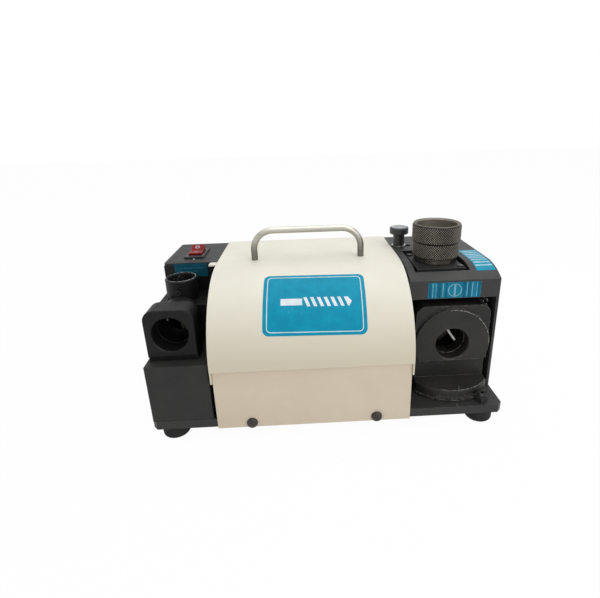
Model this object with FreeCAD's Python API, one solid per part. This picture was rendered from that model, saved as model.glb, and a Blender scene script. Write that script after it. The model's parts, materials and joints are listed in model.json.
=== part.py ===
import FreeCAD, Part
import math
import os

# Bench drill bit sharpener, in millimetres.
# +X is along the spindle to the cutting port side, +Y goes to the back, +Z is up.
# Heights are drawn from 1.6 above the table; the export lifts every node by that much.
# The origin then is on the table under the middle of the machine.

# Base plate, feet and back plane
BASE_HALF_LENGTH = 162.0
BASE_FRONT = -78.2
BACK = 79.0
BASE_BOTTOM = 10.0
BASE_TOP = 18.5
BASE_CORNER = 4.0
FOOT_X = 144.5
FOOT_FRONT_Y = -66.0
FOOT_BACK_Y = 67.0
FOOT_RADIUS = 12.5
FOOT_BOTTOM = -1.6
FOOT_ROUND = 3.0
FOOT_POCKET_RADIUS = 5.2
FOOT_POCKET_TOP = 3.5
FOOT_HEAD_RADIUS = 5.0
SCREW_SLACK = 0.08

# Left end: front box, stepped housing and switch plate
LEFT_OUTER = -159.0
LEFT_INNER = -106.0
LEFT_WALL = 3.5
BOX_OUTER = -161.0
BOX_FRONT = -78.0
BOX_TOP = 74.5
BOX_WALL = 3.0
SHELF_FRONT = -31.0
SHELF_TOP = 112.0
SHELF_THICK = 3.0
STEP_Y = 6.4
LEFT_WALL_TOP = 139.6
LEFT_TOP = 142.1
BOSS_RADIUS = 5.5
BOSS_TOP = 32.0

# Ports for the chuck
PORT_RADIUS = 16.0
PORT_DEEP_RADIUS = 15.7
PORT_CHAMFER = 1.0
PIN_RADIUS = 2.0

# Relief port block on the left front
RELIEF_X = -137.2
RELIEF_Z = 100.2
RELIEF_HALF = 21.8
RELIEF_FRONT = -68.0
RELIEF_BACK = -48.0
RELIEF_BOTTOM = 79.0
RELIEF_TOP = 123.5
RELIEF_CORNER = 10.0
RELIEF_NECK_RADIUS = 19.0
RELIEF_NECK_BACK = -26.0
RELIEF_SEAT_DEPTH = 16.0
RELIEF_PIN_OFFSET = 8.0
RELIEF_PIN_Y = -45.0

# Upright thinning port tube
THIN_X = -138.5
THIN_Y = -10.0
THIN_OUTER = 15.0
THIN_INNER = 12.0
THIN_TOP = 133.4
THIN_SCREW_Z = 122.0
THIN_SCREW_RADIUS = 2.4
THIN_SCREW_DEPTH = 2.2
THIN_LIP = 0.8

# Right housing with its curved top
RIGHT_INNER = 77.5
RIGHT_OUTER = 162.0
RIGHT_WALL = 2.5
RIGHT_SKIN = 3.0
RIGHT_TOP = 142.0
RIGHT_FRONT = -46.5
RIGHT_ARC_Y = -14.0
RIGHT_ARC_RADIUS = 60.0
FASCIA_BOTTOM = 114.5
BULKHEAD_Y = (-13.5, -11.0)
BULKHEAD_Z = (31.5, 113.0)
BULKHEAD_GAP_X = (104.0, 136.0)
BULKHEAD_GAP_Z = (35.0, 111.0)
WINDOW_X = (84.5, 136.5)
WINDOW_Y = (-36.0, 20.6)

# Setting port under the window, with its stop and thumb knob
CHUCK_X = 113.2
CHUCK_Y = -2.0
SETTING_TOP = 139.0
SETTING_FLOOR = 132.0
SETTING_FLOOR_THICK = 3.5
CUP_RADIUS = 20.0
CUP_BOTTOM = 113.5
CUP_FLOOR = 2.0
KNOB_X = 86.0
KNOB_Y = 40.6
KNOB_TRAVEL = 8.0
KNOB_SCREW_RADIUS = 3.0
KNOB_STEM_RADIUS = 6.0
KNOB_HEAD_RADIUS = 10.0
KNOB_HEAD_Z = (156.0, 163.2)
KNOB_CAP_RADIUS = 8.4
KNOB_CAP_TOP = 163.6

# Chuck standing in the setting port
CHUCK_SEAT = 139.3
CHUCK_COLLAR_RADIUS = 20.75
CHUCK_COLLAR_TOP = 142.7
CHUCK_GRIP_RADIUS = 21.85
CHUCK_GRIP_TOP = 158.6
CHUCK_NECK_RADIUS = 18.0
CHUCK_NECK_TOP = 167.0
CHUCK_NOSE_RADIUS = 15.95
CHUCK_TIP_RADIUS = 11.9
CHUCK_TIP_BOTTOM = 116.0
CHUCK_BORE = 10.0
NUT_RADIUS = 23.5
NUT_BOTTOM = 159.2
NUT_TOP = 176.5
NUT_MOUTH = 19.7
DRILL_RADIUS = 6.6

# Swivelling cutting port on the right front
SWIVEL_X = 120.6
SWIVEL_Y = -26.3
TABLE_RADIUS = 44.0
TABLE_RIM_RADIUS = 46.0
TABLE_HALF = 34.5
TABLE_BACK = 2.5
TABLE_HUB_RADIUS = 24.0
TABLE_BOTTOM = 18.8
TABLE_RIM_TOP = 21.0
TABLE_TOP = 30.0
PIVOT_RADIUS = 8.0
PIVOT_TOP = 27.5
CUT_Z = 67.5
CUT_HALF = 35.5
CUT_BOSS_RADIUS = 36.5
CUT_BOSS_FRONT = -48.5
CUT_BODY_FRONT = -46.0
CUT_BACK = -24.0
CUT_TOP = 106.5
CUT_CORNER = 10.0
CUT_STEP_Z = 50.0
CUT_PEDESTAL_HALF = 34.5
CUT_PEDESTAL_FRONT = -44.0
CUT_SEAT_DEPTH = 12.0
CUT_PIN_Y = -34.0
CUT_PIN_ANGLE = 124.6
CUT_PIN_OFFSET = 4.4
CUT_PIN_RADIUS = 1.2
BLOCK_SCREW_OFFSET = 20.0
CLAMP_RADIUS = 50.0
CLAMP_ANGLE = -61.5
CLAMP_TOP = 23.6

# Cream covers between the two ends
COVER_LEFT = -104.5
COVER_RIGHT = 76.0
COVER_TOP = 143.4
COVER_SHEET = 1.5
COVER_FLANGE = 9.5
COVER_CREASE_Y = 3.0
COVER_SLOPE = math.radians(3.2)
COVER_ARC_RADIUS = 74.0
COVER_FRONT = -81.5
COVER_SEAM = 68.5
COVER_TAB_BOTTOM = 57.0
APRON_SHEET = 1.2
APRON_X = (-102.7, 74.2)
APRON_BOTTOM = 9.0
APRON_TOP = 75.0
APRON_LEDGE = 10.0
APRON_SCREW_X = (-71.3, 43.2)
APRON_SCREW_Z = 13.7
APRON_HEAD_RADIUS = 5.0
APRON_HEAD_HEIGHT = 3.1

# Handle and the frame that carries it: a strap on two end plates
HANDLE_X = (-67.5, 39.0)
HANDLE_Y = 5.0
HANDLE_ROD = 3.2
HANDLE_TOP = 176.0
HANDLE_BEND = 19.0
STRAP_X = (-102.5, 74.0)
STRAP_Y = (-5.0, 15.0)
STRAP_TOP = 141.2
STRAP_SHEET = 3.0
STRAP_FOOT = 14.0
STRAP_LEG_BACK = 9.0

# Motor and spindle
MOTOR_Y = 21.0
MOTOR_Z = 74.0
CAN_RADIUS = 46.0
CAN_SHEET = 2.0
CAN_X = (-75.0, 50.0)
BELL_LENGTH = 13.0
CORE_X = (-45.0, 25.0)
ROTOR_RADIUS = 24.7
SHAFT_RADIUS = 6.0
SHAFT_THICK_RADIUS = 8.0
SHAFT_X = (-154.0, 146.0)
BEARING_RADIUS = 16.0
BEARING_WIDTH = 10.0
CRADLE_X = (-56.0, 31.0)
CRADLE_WIDTH = 12.0
CRADLE_HALF = 54.0
CRADLE_TOP = 58.0
STRAP_SCREW_OFFSET = 50.0
WHEEL_RADIUS = 36.0
LEFT_WHEEL_X = (-144.0, -124.0)
RIGHT_WHEEL_X = (108.0, 132.0)
FLANGE_RADIUS = 15.0
SPACER_RADIUS = 9.0
SHAFT_HOLE = 12.0

# Switch and power inlet
SWITCH_X = -132.3
SWITCH_Y = 37.8
BEZEL_HALF_X = 9.9
BEZEL_HALF_Y = 17.0
BEZEL_TOP = 144.1
ROCKER_HALF_X = 6.7
ROCKER_HALF_Y = 10.2
ROCKER_PIVOT_Z = 141.5
ROCKER_TILT = 12.0
INLET_X = -132.0
INLET_Z = 60.0
INLET_FACE = 81.3


def point(x, y, z):
    return FreeCAD.Vector(x, y, z)


def box(x, y, z):
    return Part.makeBox(x[1] - x[0], y[1] - y[0], z[1] - z[0], point(x[0], y[0], z[0]))


def rod_x(y, z, radius, x):
    return Part.makeCylinder(radius, x[1] - x[0], point(x[0], y, z), point(1, 0, 0))


def rod_y(x, z, radius, y):
    return Part.makeCylinder(radius, y[1] - y[0], point(x, y[0], z), point(0, 1, 0))


def rod_z(x, y, radius, z):
    return Part.makeCylinder(radius, z[1] - z[0], point(x, y, z[0]), point(0, 0, 1))


def spindle_ring(outer, inner, x):
    return rod_x(MOTOR_Y, MOTOR_Z, outer, x).cut(rod_x(MOTOR_Y, MOTOR_Z, inner, x))


def union(shapes):
    return shapes[0].multiFuse(shapes[1:]).removeSplitter()


def without(shape, tools):
    return shape.cut(Part.makeCompound(tools))


def group(shapes):
    return Part.makeCompound(shapes)


def turned(profile, x, y):
    """Solid of revolution about the upright line at x, y, from (radius, height) points."""
    corners = [point(x + radius, y, z) for radius, z in profile]
    face = Part.Face(Part.makePolygon(corners + corners[:1]))
    return face.revolve(point(x, y, 0), point(0, 0, 1), 360)


def rounded(shape, radius, wanted):
    """Fillet of the edges whose middle point passes the test."""
    edges = [edge for edge in shape.Edges if wanted(edge.CenterOfMass)]
    return shape.makeFillet(radius, edges)


def arch(x_half, bottom, top, corner, x_centre, y):
    """Upright plate with rounded top corners, as deep as the span y."""
    left = x_centre - x_half
    right = x_centre + x_half
    lean = corner * (1 - math.sqrt(0.5))
    corners = [point(left, y[0], bottom), point(left, y[0], top - corner)]
    corners += [point(left + corner, y[0], top), point(right - corner, y[0], top)]
    corners += [point(right, y[0], top - corner), point(right, y[0], bottom)]
    left_mid = point(left + lean, y[0], top - lean)
    right_mid = point(right - lean, y[0], top - lean)
    edges = [
        Part.makeLine(corners[0], corners[1]),
        Part.Arc(corners[1], left_mid, corners[2]).toShape(),
        Part.makeLine(corners[2], corners[3]),
        Part.Arc(corners[3], right_mid, corners[4]).toShape(),
        Part.makeLine(corners[4], corners[5]),
        Part.makeLine(corners[5], corners[0]),
    ]
    return Part.Face(Part.Wire(edges)).extrude(point(0, y[1] - y[0], 0))


def port_bore(x, z, front, seat_depth, back):
    """Chuck seat with a chamfered mouth, and the narrower hole behind it."""
    mouth = Part.makeCone(
        PORT_RADIUS + PORT_CHAMFER, PORT_RADIUS, PORT_CHAMFER, point(x, front, z), point(0, 1, 0)
    )
    seat = rod_y(x, z, PORT_RADIUS, (front, front + seat_depth))
    deep = rod_y(x, z, PORT_DEEP_RADIUS, (front + seat_depth, back))
    return [mouth, seat, deep]


def cap_screw(x, y, head_z, head_radius, shank_radius, shank_z):
    head = rod_z(x, y, head_radius, head_z)
    return union([head, rod_z(x, y, shank_radius, shank_z)])


def hexagon(across, height, base, axis):
    """Hexagonal prism with the given width across flats, from a base point along an axis."""
    circle_radius = across / math.sqrt(3)
    corners = []
    for step in range(7):
        angle = math.radians(60 * step)
        corners.append(point(circle_radius * math.cos(angle), circle_radius * math.sin(angle), 0))
    prism = Part.Face(Part.makePolygon(corners)).extrude(point(0, 0, height))
    turn = FreeCAD.Rotation(point(0, 0, 1), axis)
    prism.Placement = FreeCAD.Placement(base, turn)
    return prism


# Base plate and feet
FEET = [(x, y) for x in (-FOOT_X, FOOT_X) for y in (FOOT_FRONT_Y, FOOT_BACK_Y)]
LEFT_BOSSES = [(x, y) for x in (-151.0, -114.0) for y in (-23.0, 46.0)]
RIGHT_BOSSES = [(x, y) for x in (84.5, 153.0) for y in (-6.0, 46.0)]
FOOT_SCREW_RADIUS = 2.5
FOOT_SCREW_TOP = 14.0
HOUSING_SCREW_RADIUS = 2.1
HOUSING_HEAD_RADIUS = 4.0
LOCK_SCREW_RADIUS = 2.5
LOCK_SCREW_BOTTOM = BASE_TOP - 3.0
LOCK_X = SWIVEL_X + CLAMP_RADIUS * math.cos(math.radians(CLAMP_ANGLE))
LOCK_Y = SWIVEL_Y + CLAMP_RADIUS * math.sin(math.radians(CLAMP_ANGLE))
APRON_SCREW_RADIUS = 2.0
APRON_SCREW_END = -66.0


def base_plate():
    length = (-BASE_HALF_LENGTH, BASE_HALF_LENGTH)
    plate = box(length, (BASE_FRONT, BACK), (BASE_BOTTOM, BASE_TOP))
    upright = [edge for edge in plate.Edges if abs(edge.tangentAt(edge.FirstParameter).z) > 0.9]
    plate = plate.makeChamfer(BASE_CORNER, upright)
    through = (BASE_BOTTOM - 1, BASE_TOP + 1)
    foot_hole = (BASE_BOTTOM - 1, FOOT_SCREW_TOP + 0.5)
    holes = [rod_z(x, y, FOOT_SCREW_RADIUS + SCREW_SLACK, foot_hole) for x, y in FEET]
    for x, y in LEFT_BOSSES + RIGHT_BOSSES:
        holes.append(rod_z(x, y, HOUSING_SCREW_RADIUS + SCREW_SLACK, through))
    holes.append(rod_z(SWIVEL_X, SWIVEL_Y, PIVOT_RADIUS, through))
    lock_hole = (LOCK_SCREW_BOTTOM - 0.2, BASE_TOP + 1)
    holes.append(rod_z(LOCK_X, LOCK_Y, LOCK_SCREW_RADIUS + SCREW_SLACK, lock_hole))
    for x in APRON_SCREW_X:
        reach = (BASE_FRONT - 1, APRON_SCREW_END + 1)
        holes.append(rod_y(x, APRON_SCREW_Z, APRON_SCREW_RADIUS + SCREW_SLACK, reach))
    return without(plate, holes)


def rubber_feet():
    feet = []
    for x, y in FEET:
        foot = rod_z(x, y, FOOT_RADIUS, (FOOT_BOTTOM, BASE_BOTTOM))
        foot = rounded(foot, FOOT_ROUND, lambda middle: middle.z < FOOT_BOTTOM + 1)
        bore = rod_z(x, y, FOOT_SCREW_RADIUS + SCREW_SLACK, (FOOT_BOTTOM, BASE_BOTTOM + 1))
        pocket = rod_z(x, y, FOOT_POCKET_RADIUS, (FOOT_BOTTOM - 1, FOOT_POCKET_TOP))
        feet.append(without(foot, [bore, pocket]))
    return group(feet)


def foot_screws():
    screws = []
    for x, y in FEET:
        head = (FOOT_BOTTOM + 1.4, FOOT_POCKET_TOP)
        shank = (FOOT_POCKET_TOP, FOOT_SCREW_TOP)
        screws.append(cap_screw(x, y, head, FOOT_HEAD_RADIUS, FOOT_SCREW_RADIUS, shank))
    return group(screws)


def housing_screws():
    screws = []
    for x, y in LEFT_BOSSES + RIGHT_BOSSES:
        head = (BASE_BOTTOM - 4.0, BASE_BOTTOM)
        shank = (BASE_BOTTOM, BOSS_TOP - 3)
        screws.append(cap_screw(x, y, head, HOUSING_HEAD_RADIUS, HOUSING_SCREW_RADIUS, shank))
    return group(screws)


# Left end
LEFT_X = (LEFT_OUTER, LEFT_INNER)
INLET_CUT_X = (INLET_X - 13.7, INLET_X + 13.7)
INLET_CUT_Z = (INLET_Z - 10.2, INLET_Z + 10.2)
INLET_SCREWS = (INLET_X - 20.0, INLET_X + 20.0)
INLET_SCREW_RADIUS = 1.5
TOP_PLATE_ROUND = 3.0
SWITCH_CUT_HALF_X = 8.5
SWITCH_CUT_HALF_Y = 12.0


def boss_posts(places):
    return [rod_z(x, y, BOSS_RADIUS, (BASE_TOP, BOSS_TOP)) for x, y in places]


def boss_holes(places):
    reach = (BASE_TOP - 1, BOSS_TOP - 2)
    return [rod_z(x, y, HOUSING_SCREW_RADIUS + SCREW_SLACK, reach) for x, y in places]


def left_front_box():
    outer = box((BOX_OUTER, LEFT_INNER), (BOX_FRONT, SHELF_FRONT - 0.2), (BASE_TOP, BOX_TOP))
    outer = rounded(outer, 1.2, lambda middle: middle.y < BOX_FRONT + 1 and middle.z > BASE_TOP + 1)
    inside_x = (BOX_OUTER + BOX_WALL, LEFT_INNER - BOX_WALL)
    inside = box(inside_x, (BOX_FRONT + BOX_WALL, SHELF_FRONT), (BASE_TOP - 1, BOX_TOP - BOX_WALL))
    return outer.cut(inside)


def left_housing():
    lower = box(LEFT_X, (SHELF_FRONT, BACK), (BASE_TOP, SHELF_TOP))
    upper = box(LEFT_X, (STEP_Y, BACK), (BASE_TOP, LEFT_WALL_TOP))
    inside_x = (LEFT_OUTER + LEFT_WALL, LEFT_INNER - LEFT_WALL)
    inside_back = BACK - LEFT_WALL
    under_shelf = (BASE_TOP - 1, SHELF_TOP - SHELF_THICK)
    low_room = box(inside_x, (SHELF_FRONT + LEFT_WALL, inside_back), under_shelf)
    high_room = box(inside_x, (STEP_Y + LEFT_WALL, inside_back), (BASE_TOP - 1, LEFT_WALL_TOP + 1))
    shell = without(union([lower, upper]), [low_room, high_room])
    shell = union([shell] + boss_posts(LEFT_BOSSES))
    neck_reach = (SHELF_FRONT - 1, RELIEF_NECK_BACK + 0.1)
    holes = [rod_y(RELIEF_X, RELIEF_Z, RELIEF_NECK_RADIUS + 0.05, neck_reach)]
    holes.append(rod_z(THIN_X, THIN_Y, THIN_OUTER + 0.05, (SHELF_TOP - SHELF_THICK - 1, SHELF_TOP + 1)))
    holes.append(rod_x(MOTOR_Y, MOTOR_Z, SHAFT_HOLE, (LEFT_INNER - LEFT_WALL - 1, LEFT_INNER + 1)))
    holes.append(box(INLET_CUT_X, (inside_back - 1, BACK + 1), INLET_CUT_Z))
    for x in INLET_SCREWS:
        holes.append(rod_y(x, INLET_Z, INLET_SCREW_RADIUS + SCREW_SLACK, (inside_back - 1, BACK + 1)))
    return without(shell, holes + boss_holes(LEFT_BOSSES))


def left_top_plate():
    plate = box((LEFT_OUTER, COVER_LEFT - 1.0), (STEP_Y, BACK), (LEFT_WALL_TOP, LEFT_TOP))
    outer_left = [edge for edge in plate.Edges if edge.CenterOfMass.x < LEFT_OUTER + 0.1]
    upright = [edge for edge in outer_left if abs(edge.tangentAt(edge.FirstParameter).z) > 0.9]
    plate = plate.makeFillet(TOP_PLATE_ROUND, upright)
    cut_x = (SWITCH_X - SWITCH_CUT_HALF_X, SWITCH_X + SWITCH_CUT_HALF_X)
    cut_y = (SWITCH_Y - SWITCH_CUT_HALF_Y, SWITCH_Y + SWITCH_CUT_HALF_Y)
    return plate.cut(box(cut_x, cut_y, (LEFT_WALL_TOP - 1, LEFT_TOP + 1)))


def relief_port_block():
    depth = (RELIEF_FRONT, RELIEF_BACK)
    block = arch(RELIEF_HALF, RELIEF_BOTTOM, RELIEF_TOP, RELIEF_CORNER, RELIEF_X, depth)
    block = rounded(block, 0.8, lambda middle: abs(middle.y - RELIEF_FRONT) < 0.1)
    foot_x = (RELIEF_X - RELIEF_HALF, RELIEF_X + RELIEF_HALF)
    foot = box(foot_x, (RELIEF_FRONT + 2, RELIEF_BACK - 2), (BOX_TOP, RELIEF_BOTTOM))
    neck = rod_y(RELIEF_X, RELIEF_Z, RELIEF_NECK_RADIUS, (RELIEF_BACK, RELIEF_NECK_BACK))
    bore = port_bore(RELIEF_X, RELIEF_Z, RELIEF_FRONT, RELIEF_SEAT_DEPTH, RELIEF_NECK_BACK + 1)
    pin_x = RELIEF_X - RELIEF_PIN_OFFSET
    bore.append(rod_z(pin_x, RELIEF_PIN_Y, PIN_RADIUS, (RELIEF_Z, RELIEF_Z + RELIEF_NECK_RADIUS)))
    return without(union([block, foot, neck]), bore)


def relief_index_pin():
    pin_x = RELIEF_X - RELIEF_PIN_OFFSET
    return rod_z(pin_x, RELIEF_PIN_Y, PIN_RADIUS, (RELIEF_Z + 4.0, RELIEF_Z + 16.8))


def thinning_port_tube():
    foot_z = SHELF_TOP - SHELF_THICK
    lip = THIN_TOP - THIN_LIP
    profile = [(THIN_INNER, foot_z), (THIN_OUTER, foot_z), (THIN_OUTER, lip)]
    profile += [(THIN_OUTER - THIN_LIP, THIN_TOP), (THIN_INNER + THIN_LIP, THIN_TOP), (THIN_INNER, lip)]
    tube = turned(profile, THIN_X, THIN_Y)
    front = THIN_Y - THIN_OUTER
    screw_hole = rod_y(THIN_X, THIN_SCREW_Z, THIN_SCREW_RADIUS, (front - 1, front + THIN_SCREW_DEPTH))
    groove = box((THIN_X - 7.2, THIN_X - 4.8), (front - 1, front + 2.4), (SHELF_TOP + 1, SHELF_TOP + 7))
    return without(tube, [screw_hole, groove])


def thinning_set_screw():
    front = THIN_Y - THIN_OUTER
    screw = rod_y(THIN_X, THIN_SCREW_Z, THIN_SCREW_RADIUS, (front - 0.6, front + THIN_SCREW_DEPTH))
    socket = hexagon(2.5, 1.4, point(THIN_X, front - 0.6, THIN_SCREW_Z), point(0, 1, 0))
    return screw.cut(socket)


# Right end
VENT_Y = (-26.6, -18.2)
VENT_Z = (98.4, 103.0)
VENT_HALF_Y = 3.6
VENT_HALF_Z = 1.2
BACK_VENTS = 8
BACK_VENT_START = RIGHT_INNER + 16
BACK_VENT_STEP = 7.0
BACK_VENT_WIDTH = 3.0
BACK_VENT_Z = (60.0, 110.0)


def right_outline(shrink):
    """Side outline of the right housing, drawn in by the wall thickness."""
    top = RIGHT_TOP - shrink
    back = BACK - shrink
    front = RIGHT_FRONT + shrink
    radius = RIGHT_ARC_RADIUS - shrink
    arc_z = RIGHT_TOP - RIGHT_ARC_RADIUS
    fall = math.asin((RIGHT_ARC_Y - front) / radius)
    middle = point(0, RIGHT_ARC_Y - radius * math.sin(fall / 2), arc_z + radius * math.cos(fall / 2))
    arc_start = point(0, RIGHT_ARC_Y, top)
    arc_end = point(0, front, arc_z + radius * math.cos(fall))
    bottom = BASE_TOP - (1 if shrink else 0)
    edges = [
        Part.makeLine(point(0, back, bottom), point(0, back, top)),
        Part.makeLine(point(0, back, top), arc_start),
        Part.Arc(arc_start, middle, arc_end).toShape(),
        Part.makeLine(arc_end, point(0, front, bottom)),
        Part.makeLine(point(0, front, bottom), point(0, back, bottom)),
    ]
    return Part.Face(Part.Wire(edges))


def right_housing_vents():
    vents = []
    for y in VENT_Y:
        for z in VENT_Z:
            wall = (RIGHT_OUTER - RIGHT_WALL - 1, RIGHT_OUTER + 1)
            vents.append(box(wall, (y - VENT_HALF_Y, y + VENT_HALF_Y), (z - VENT_HALF_Z, z + VENT_HALF_Z)))
    for step in range(BACK_VENTS):
        x = BACK_VENT_START + step * BACK_VENT_STEP
        vents.append(box((x, x + BACK_VENT_WIDTH), (BACK - RIGHT_SKIN - 1, BACK + 1), BACK_VENT_Z))
    return vents


def right_housing():
    shell = right_outline(0)
    shell.translate(point(RIGHT_INNER, 0, 0))
    shell = shell.extrude(point(RIGHT_OUTER - RIGHT_INNER, 0, 0))
    room = right_outline(RIGHT_SKIN)
    room.translate(point(RIGHT_INNER + RIGHT_WALL, 0, 0))
    room = room.extrude(point(RIGHT_OUTER - RIGHT_INNER - 2 * RIGHT_WALL, 0, 0))
    room_x = (RIGHT_INNER + RIGHT_WALL, RIGHT_OUTER - RIGHT_WALL)
    mouth = box(room_x, (RIGHT_FRONT - 1, RIGHT_FRONT + RIGHT_SKIN + 1), (BASE_TOP - 1, FASCIA_BOTTOM))
    bulkhead = box(room_x, BULKHEAD_Y, BULKHEAD_Z)
    bulkhead = bulkhead.cut(box(BULKHEAD_GAP_X, (BULKHEAD_Y[0] - 1, BULKHEAD_Y[1] + 1), BULKHEAD_GAP_Z))
    shell = union([without(shell, [room, mouth]), bulkhead] + boss_posts(RIGHT_BOSSES))
    through_top = (RIGHT_TOP - 18, RIGHT_TOP + 1)
    holes = [box(WINDOW_X, WINDOW_Y, through_top)]
    slot_half = KNOB_SCREW_RADIUS + 0.5
    slot_end = KNOB_X + KNOB_TRAVEL + 2
    holes.append(rod_z(KNOB_X - 1, KNOB_Y, slot_half, through_top))
    holes.append(rod_z(slot_end, KNOB_Y, slot_half, through_top))
    holes.append(box((KNOB_X - 1, slot_end), (KNOB_Y - slot_half, KNOB_Y + slot_half), through_top))
    holes.append(rod_x(MOTOR_Y, MOTOR_Z, SHAFT_HOLE, (RIGHT_INNER - 1, RIGHT_INNER + RIGHT_WALL + 1)))
    return without(shell, holes + right_housing_vents() + boss_holes(RIGHT_BOSSES))


# Setting port, stop and thumb knob
SETTING_X = (88.0, 134.0)
SETTING_Y = (-31.0, 20.2)
SETTING_SCREWS = [(92.0, -27.0), (130.0, -27.0), (91.5, 13.8), (131.2, 14.4)]
SETTING_SCREW_RADIUS = 1.8
SETTING_HEAD_RADIUS = 2.9
SETTING_HEAD_HEIGHT = 1.2
BRACKET_X = (81.0, 140.0)
BRACKET_Y = (-38.0, 22.0)
HANGER_Y = (-10.0, 22.0)
STOP_X = (81.5, 104.0)
STOP_Y = (34.0, 47.0)
STOP_Z = (131.0, 138.6)
KNOB_SLACK = 0.06
WASHER_RADIUS = 7.6


def setting_bracket():
    floor_z = (SETTING_FLOOR - SETTING_FLOOR_THICK, SETTING_FLOOR)
    floor = box(BRACKET_X, BRACKET_Y, floor_z)
    hanger_z = (SETTING_FLOOR, RIGHT_TOP - RIGHT_SKIN)
    left = box((BRACKET_X[0], BRACKET_X[0] + 3), HANGER_Y, hanger_z)
    right = box((BRACKET_X[1] - 3, BRACKET_X[1]), HANGER_Y, hanger_z)
    holes = [rod_z(CHUCK_X, CHUCK_Y, CUP_RADIUS, (floor_z[0] - 1, floor_z[1] + 1))]
    for x, y in SETTING_SCREWS:
        holes.append(rod_z(x, y, SETTING_SCREW_RADIUS + SCREW_SLACK, (floor_z[0] - 1, floor_z[1] + 1)))
    return without(union([floor, left, right]), holes)


def setting_plate():
    plate = box(SETTING_X, SETTING_Y, (SETTING_FLOOR, SETTING_TOP))
    plate = rounded(plate, 0.6, lambda middle: middle.z > SETTING_TOP - 0.1)
    through = (SETTING_FLOOR - 1, SETTING_TOP + 1)
    holes = [rod_z(CHUCK_X, CHUCK_Y, PORT_RADIUS + 0.1, through)]
    for x, y in SETTING_SCREWS:
        holes.append(rod_z(x, y, SETTING_SCREW_RADIUS + SCREW_SLACK, through))
    return without(plate, holes)


def setting_cup():
    cup = rod_z(CHUCK_X, CHUCK_Y, CUP_RADIUS, (CUP_BOTTOM, SETTING_FLOOR))
    room = (CUP_BOTTOM + CUP_FLOOR, SETTING_FLOOR + 1)
    return cup.cut(rod_z(CHUCK_X, CHUCK_Y, PORT_RADIUS + 0.1, room))


def setting_plate_screws():
    screws = []
    for x, y in SETTING_SCREWS:
        head = (SETTING_TOP, SETTING_TOP + SETTING_HEAD_HEIGHT)
        shank = (SETTING_FLOOR - SETTING_FLOOR_THICK, SETTING_TOP)
        screws.append(cap_screw(x, y, head, SETTING_HEAD_RADIUS, SETTING_SCREW_RADIUS, shank))
    return group(screws)


def setting_stop():
    slide = box(STOP_X, STOP_Y, STOP_Z)
    finger = box((STOP_X[1] - 6, STOP_X[1]), (BRACKET_Y[1] + 1, STOP_Y[0]), (STOP_Z[0], STOP_Z[0] + 5))
    hole = rod_z(KNOB_X, KNOB_Y, KNOB_SCREW_RADIUS + KNOB_SLACK, (STOP_Z[0] - 1, STOP_Z[1] + 1))
    return union([slide, finger]).cut(hole)


def knob_washer():
    rise = (RIGHT_TOP + 0.1, RIGHT_TOP + 1.5)
    hole = rod_z(KNOB_X, KNOB_Y, KNOB_SCREW_RADIUS + KNOB_SLACK, rise)
    return rod_z(KNOB_X, KNOB_Y, WASHER_RADIUS, rise).cut(hole)


def thumb_knob():
    stem_z = (RIGHT_TOP + 1.8, KNOB_HEAD_Z[0])
    screw = rod_z(KNOB_X, KNOB_Y, KNOB_SCREW_RADIUS, (STOP_Z[0] - 2, stem_z[0]))
    stem = rod_z(KNOB_X, KNOB_Y, KNOB_STEM_RADIUS, stem_z)
    head = rod_z(KNOB_X, KNOB_Y, KNOB_HEAD_RADIUS, KNOB_HEAD_Z)
    head = rounded(head, 1.2, lambda middle: True)
    pocket = rod_z(KNOB_X, KNOB_Y, KNOB_CAP_RADIUS, (KNOB_HEAD_Z[1] - 1, KNOB_HEAD_Z[1] + 1))
    return union([screw, stem, head]).cut(pocket)


def knob_cap():
    cap = rod_z(KNOB_X, KNOB_Y, KNOB_CAP_RADIUS, (KNOB_HEAD_Z[1] - 1, KNOB_CAP_TOP))
    return rounded(cap, 0.4, lambda middle: middle.z > KNOB_CAP_TOP - 0.1)


# Chuck
NOSE_SEAT_BOTTOM = 128.0
NOSE_BOTTOM = 122.0
COLLET_RADIUS = 9.9
COLLET_SLOT = 0.9
COLLET_SLOT_TOP = 150.0
KEYWAY_HALF = 2.2
KEYWAY_TOP = 134.0


def chuck_body():
    edge = 0.8
    profile = [(CHUCK_BORE, CHUCK_NECK_TOP), (CHUCK_BORE, CHUCK_TIP_BOTTOM + 3)]
    profile += [(DRILL_RADIUS + 0.6, CHUCK_TIP_BOTTOM + 3), (DRILL_RADIUS + 0.6, CHUCK_TIP_BOTTOM)]
    profile += [(CHUCK_TIP_RADIUS, CHUCK_TIP_BOTTOM), (CHUCK_TIP_RADIUS, NOSE_BOTTOM)]
    profile += [(PORT_DEEP_RADIUS - 0.3, NOSE_BOTTOM), (PORT_DEEP_RADIUS - 0.3, NOSE_SEAT_BOTTOM)]
    profile += [(CHUCK_NOSE_RADIUS, NOSE_SEAT_BOTTOM), (CHUCK_NOSE_RADIUS, CHUCK_SEAT)]
    profile += [(CHUCK_COLLAR_RADIUS, CHUCK_SEAT), (CHUCK_COLLAR_RADIUS, CHUCK_COLLAR_TOP)]
    profile += [(CHUCK_GRIP_RADIUS, CHUCK_COLLAR_TOP + edge)]
    profile += [(CHUCK_GRIP_RADIUS, CHUCK_GRIP_TOP - edge), (CHUCK_GRIP_RADIUS - edge, CHUCK_GRIP_TOP)]
    profile += [(CHUCK_NECK_RADIUS, CHUCK_GRIP_TOP), (CHUCK_NECK_RADIUS, CHUCK_NECK_TOP)]
    body = turned(profile, CHUCK_X, CHUCK_Y)
    slots = []
    for side in (-1, 1):
        x = CHUCK_X + side * CHUCK_NOSE_RADIUS
        slot_y = (CHUCK_Y - KEYWAY_HALF, CHUCK_Y + KEYWAY_HALF)
        slots.append(box((x - KEYWAY_HALF, x + KEYWAY_HALF), slot_y, (CHUCK_TIP_BOTTOM, KEYWAY_TOP)))
    return without(body, slots)


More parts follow.
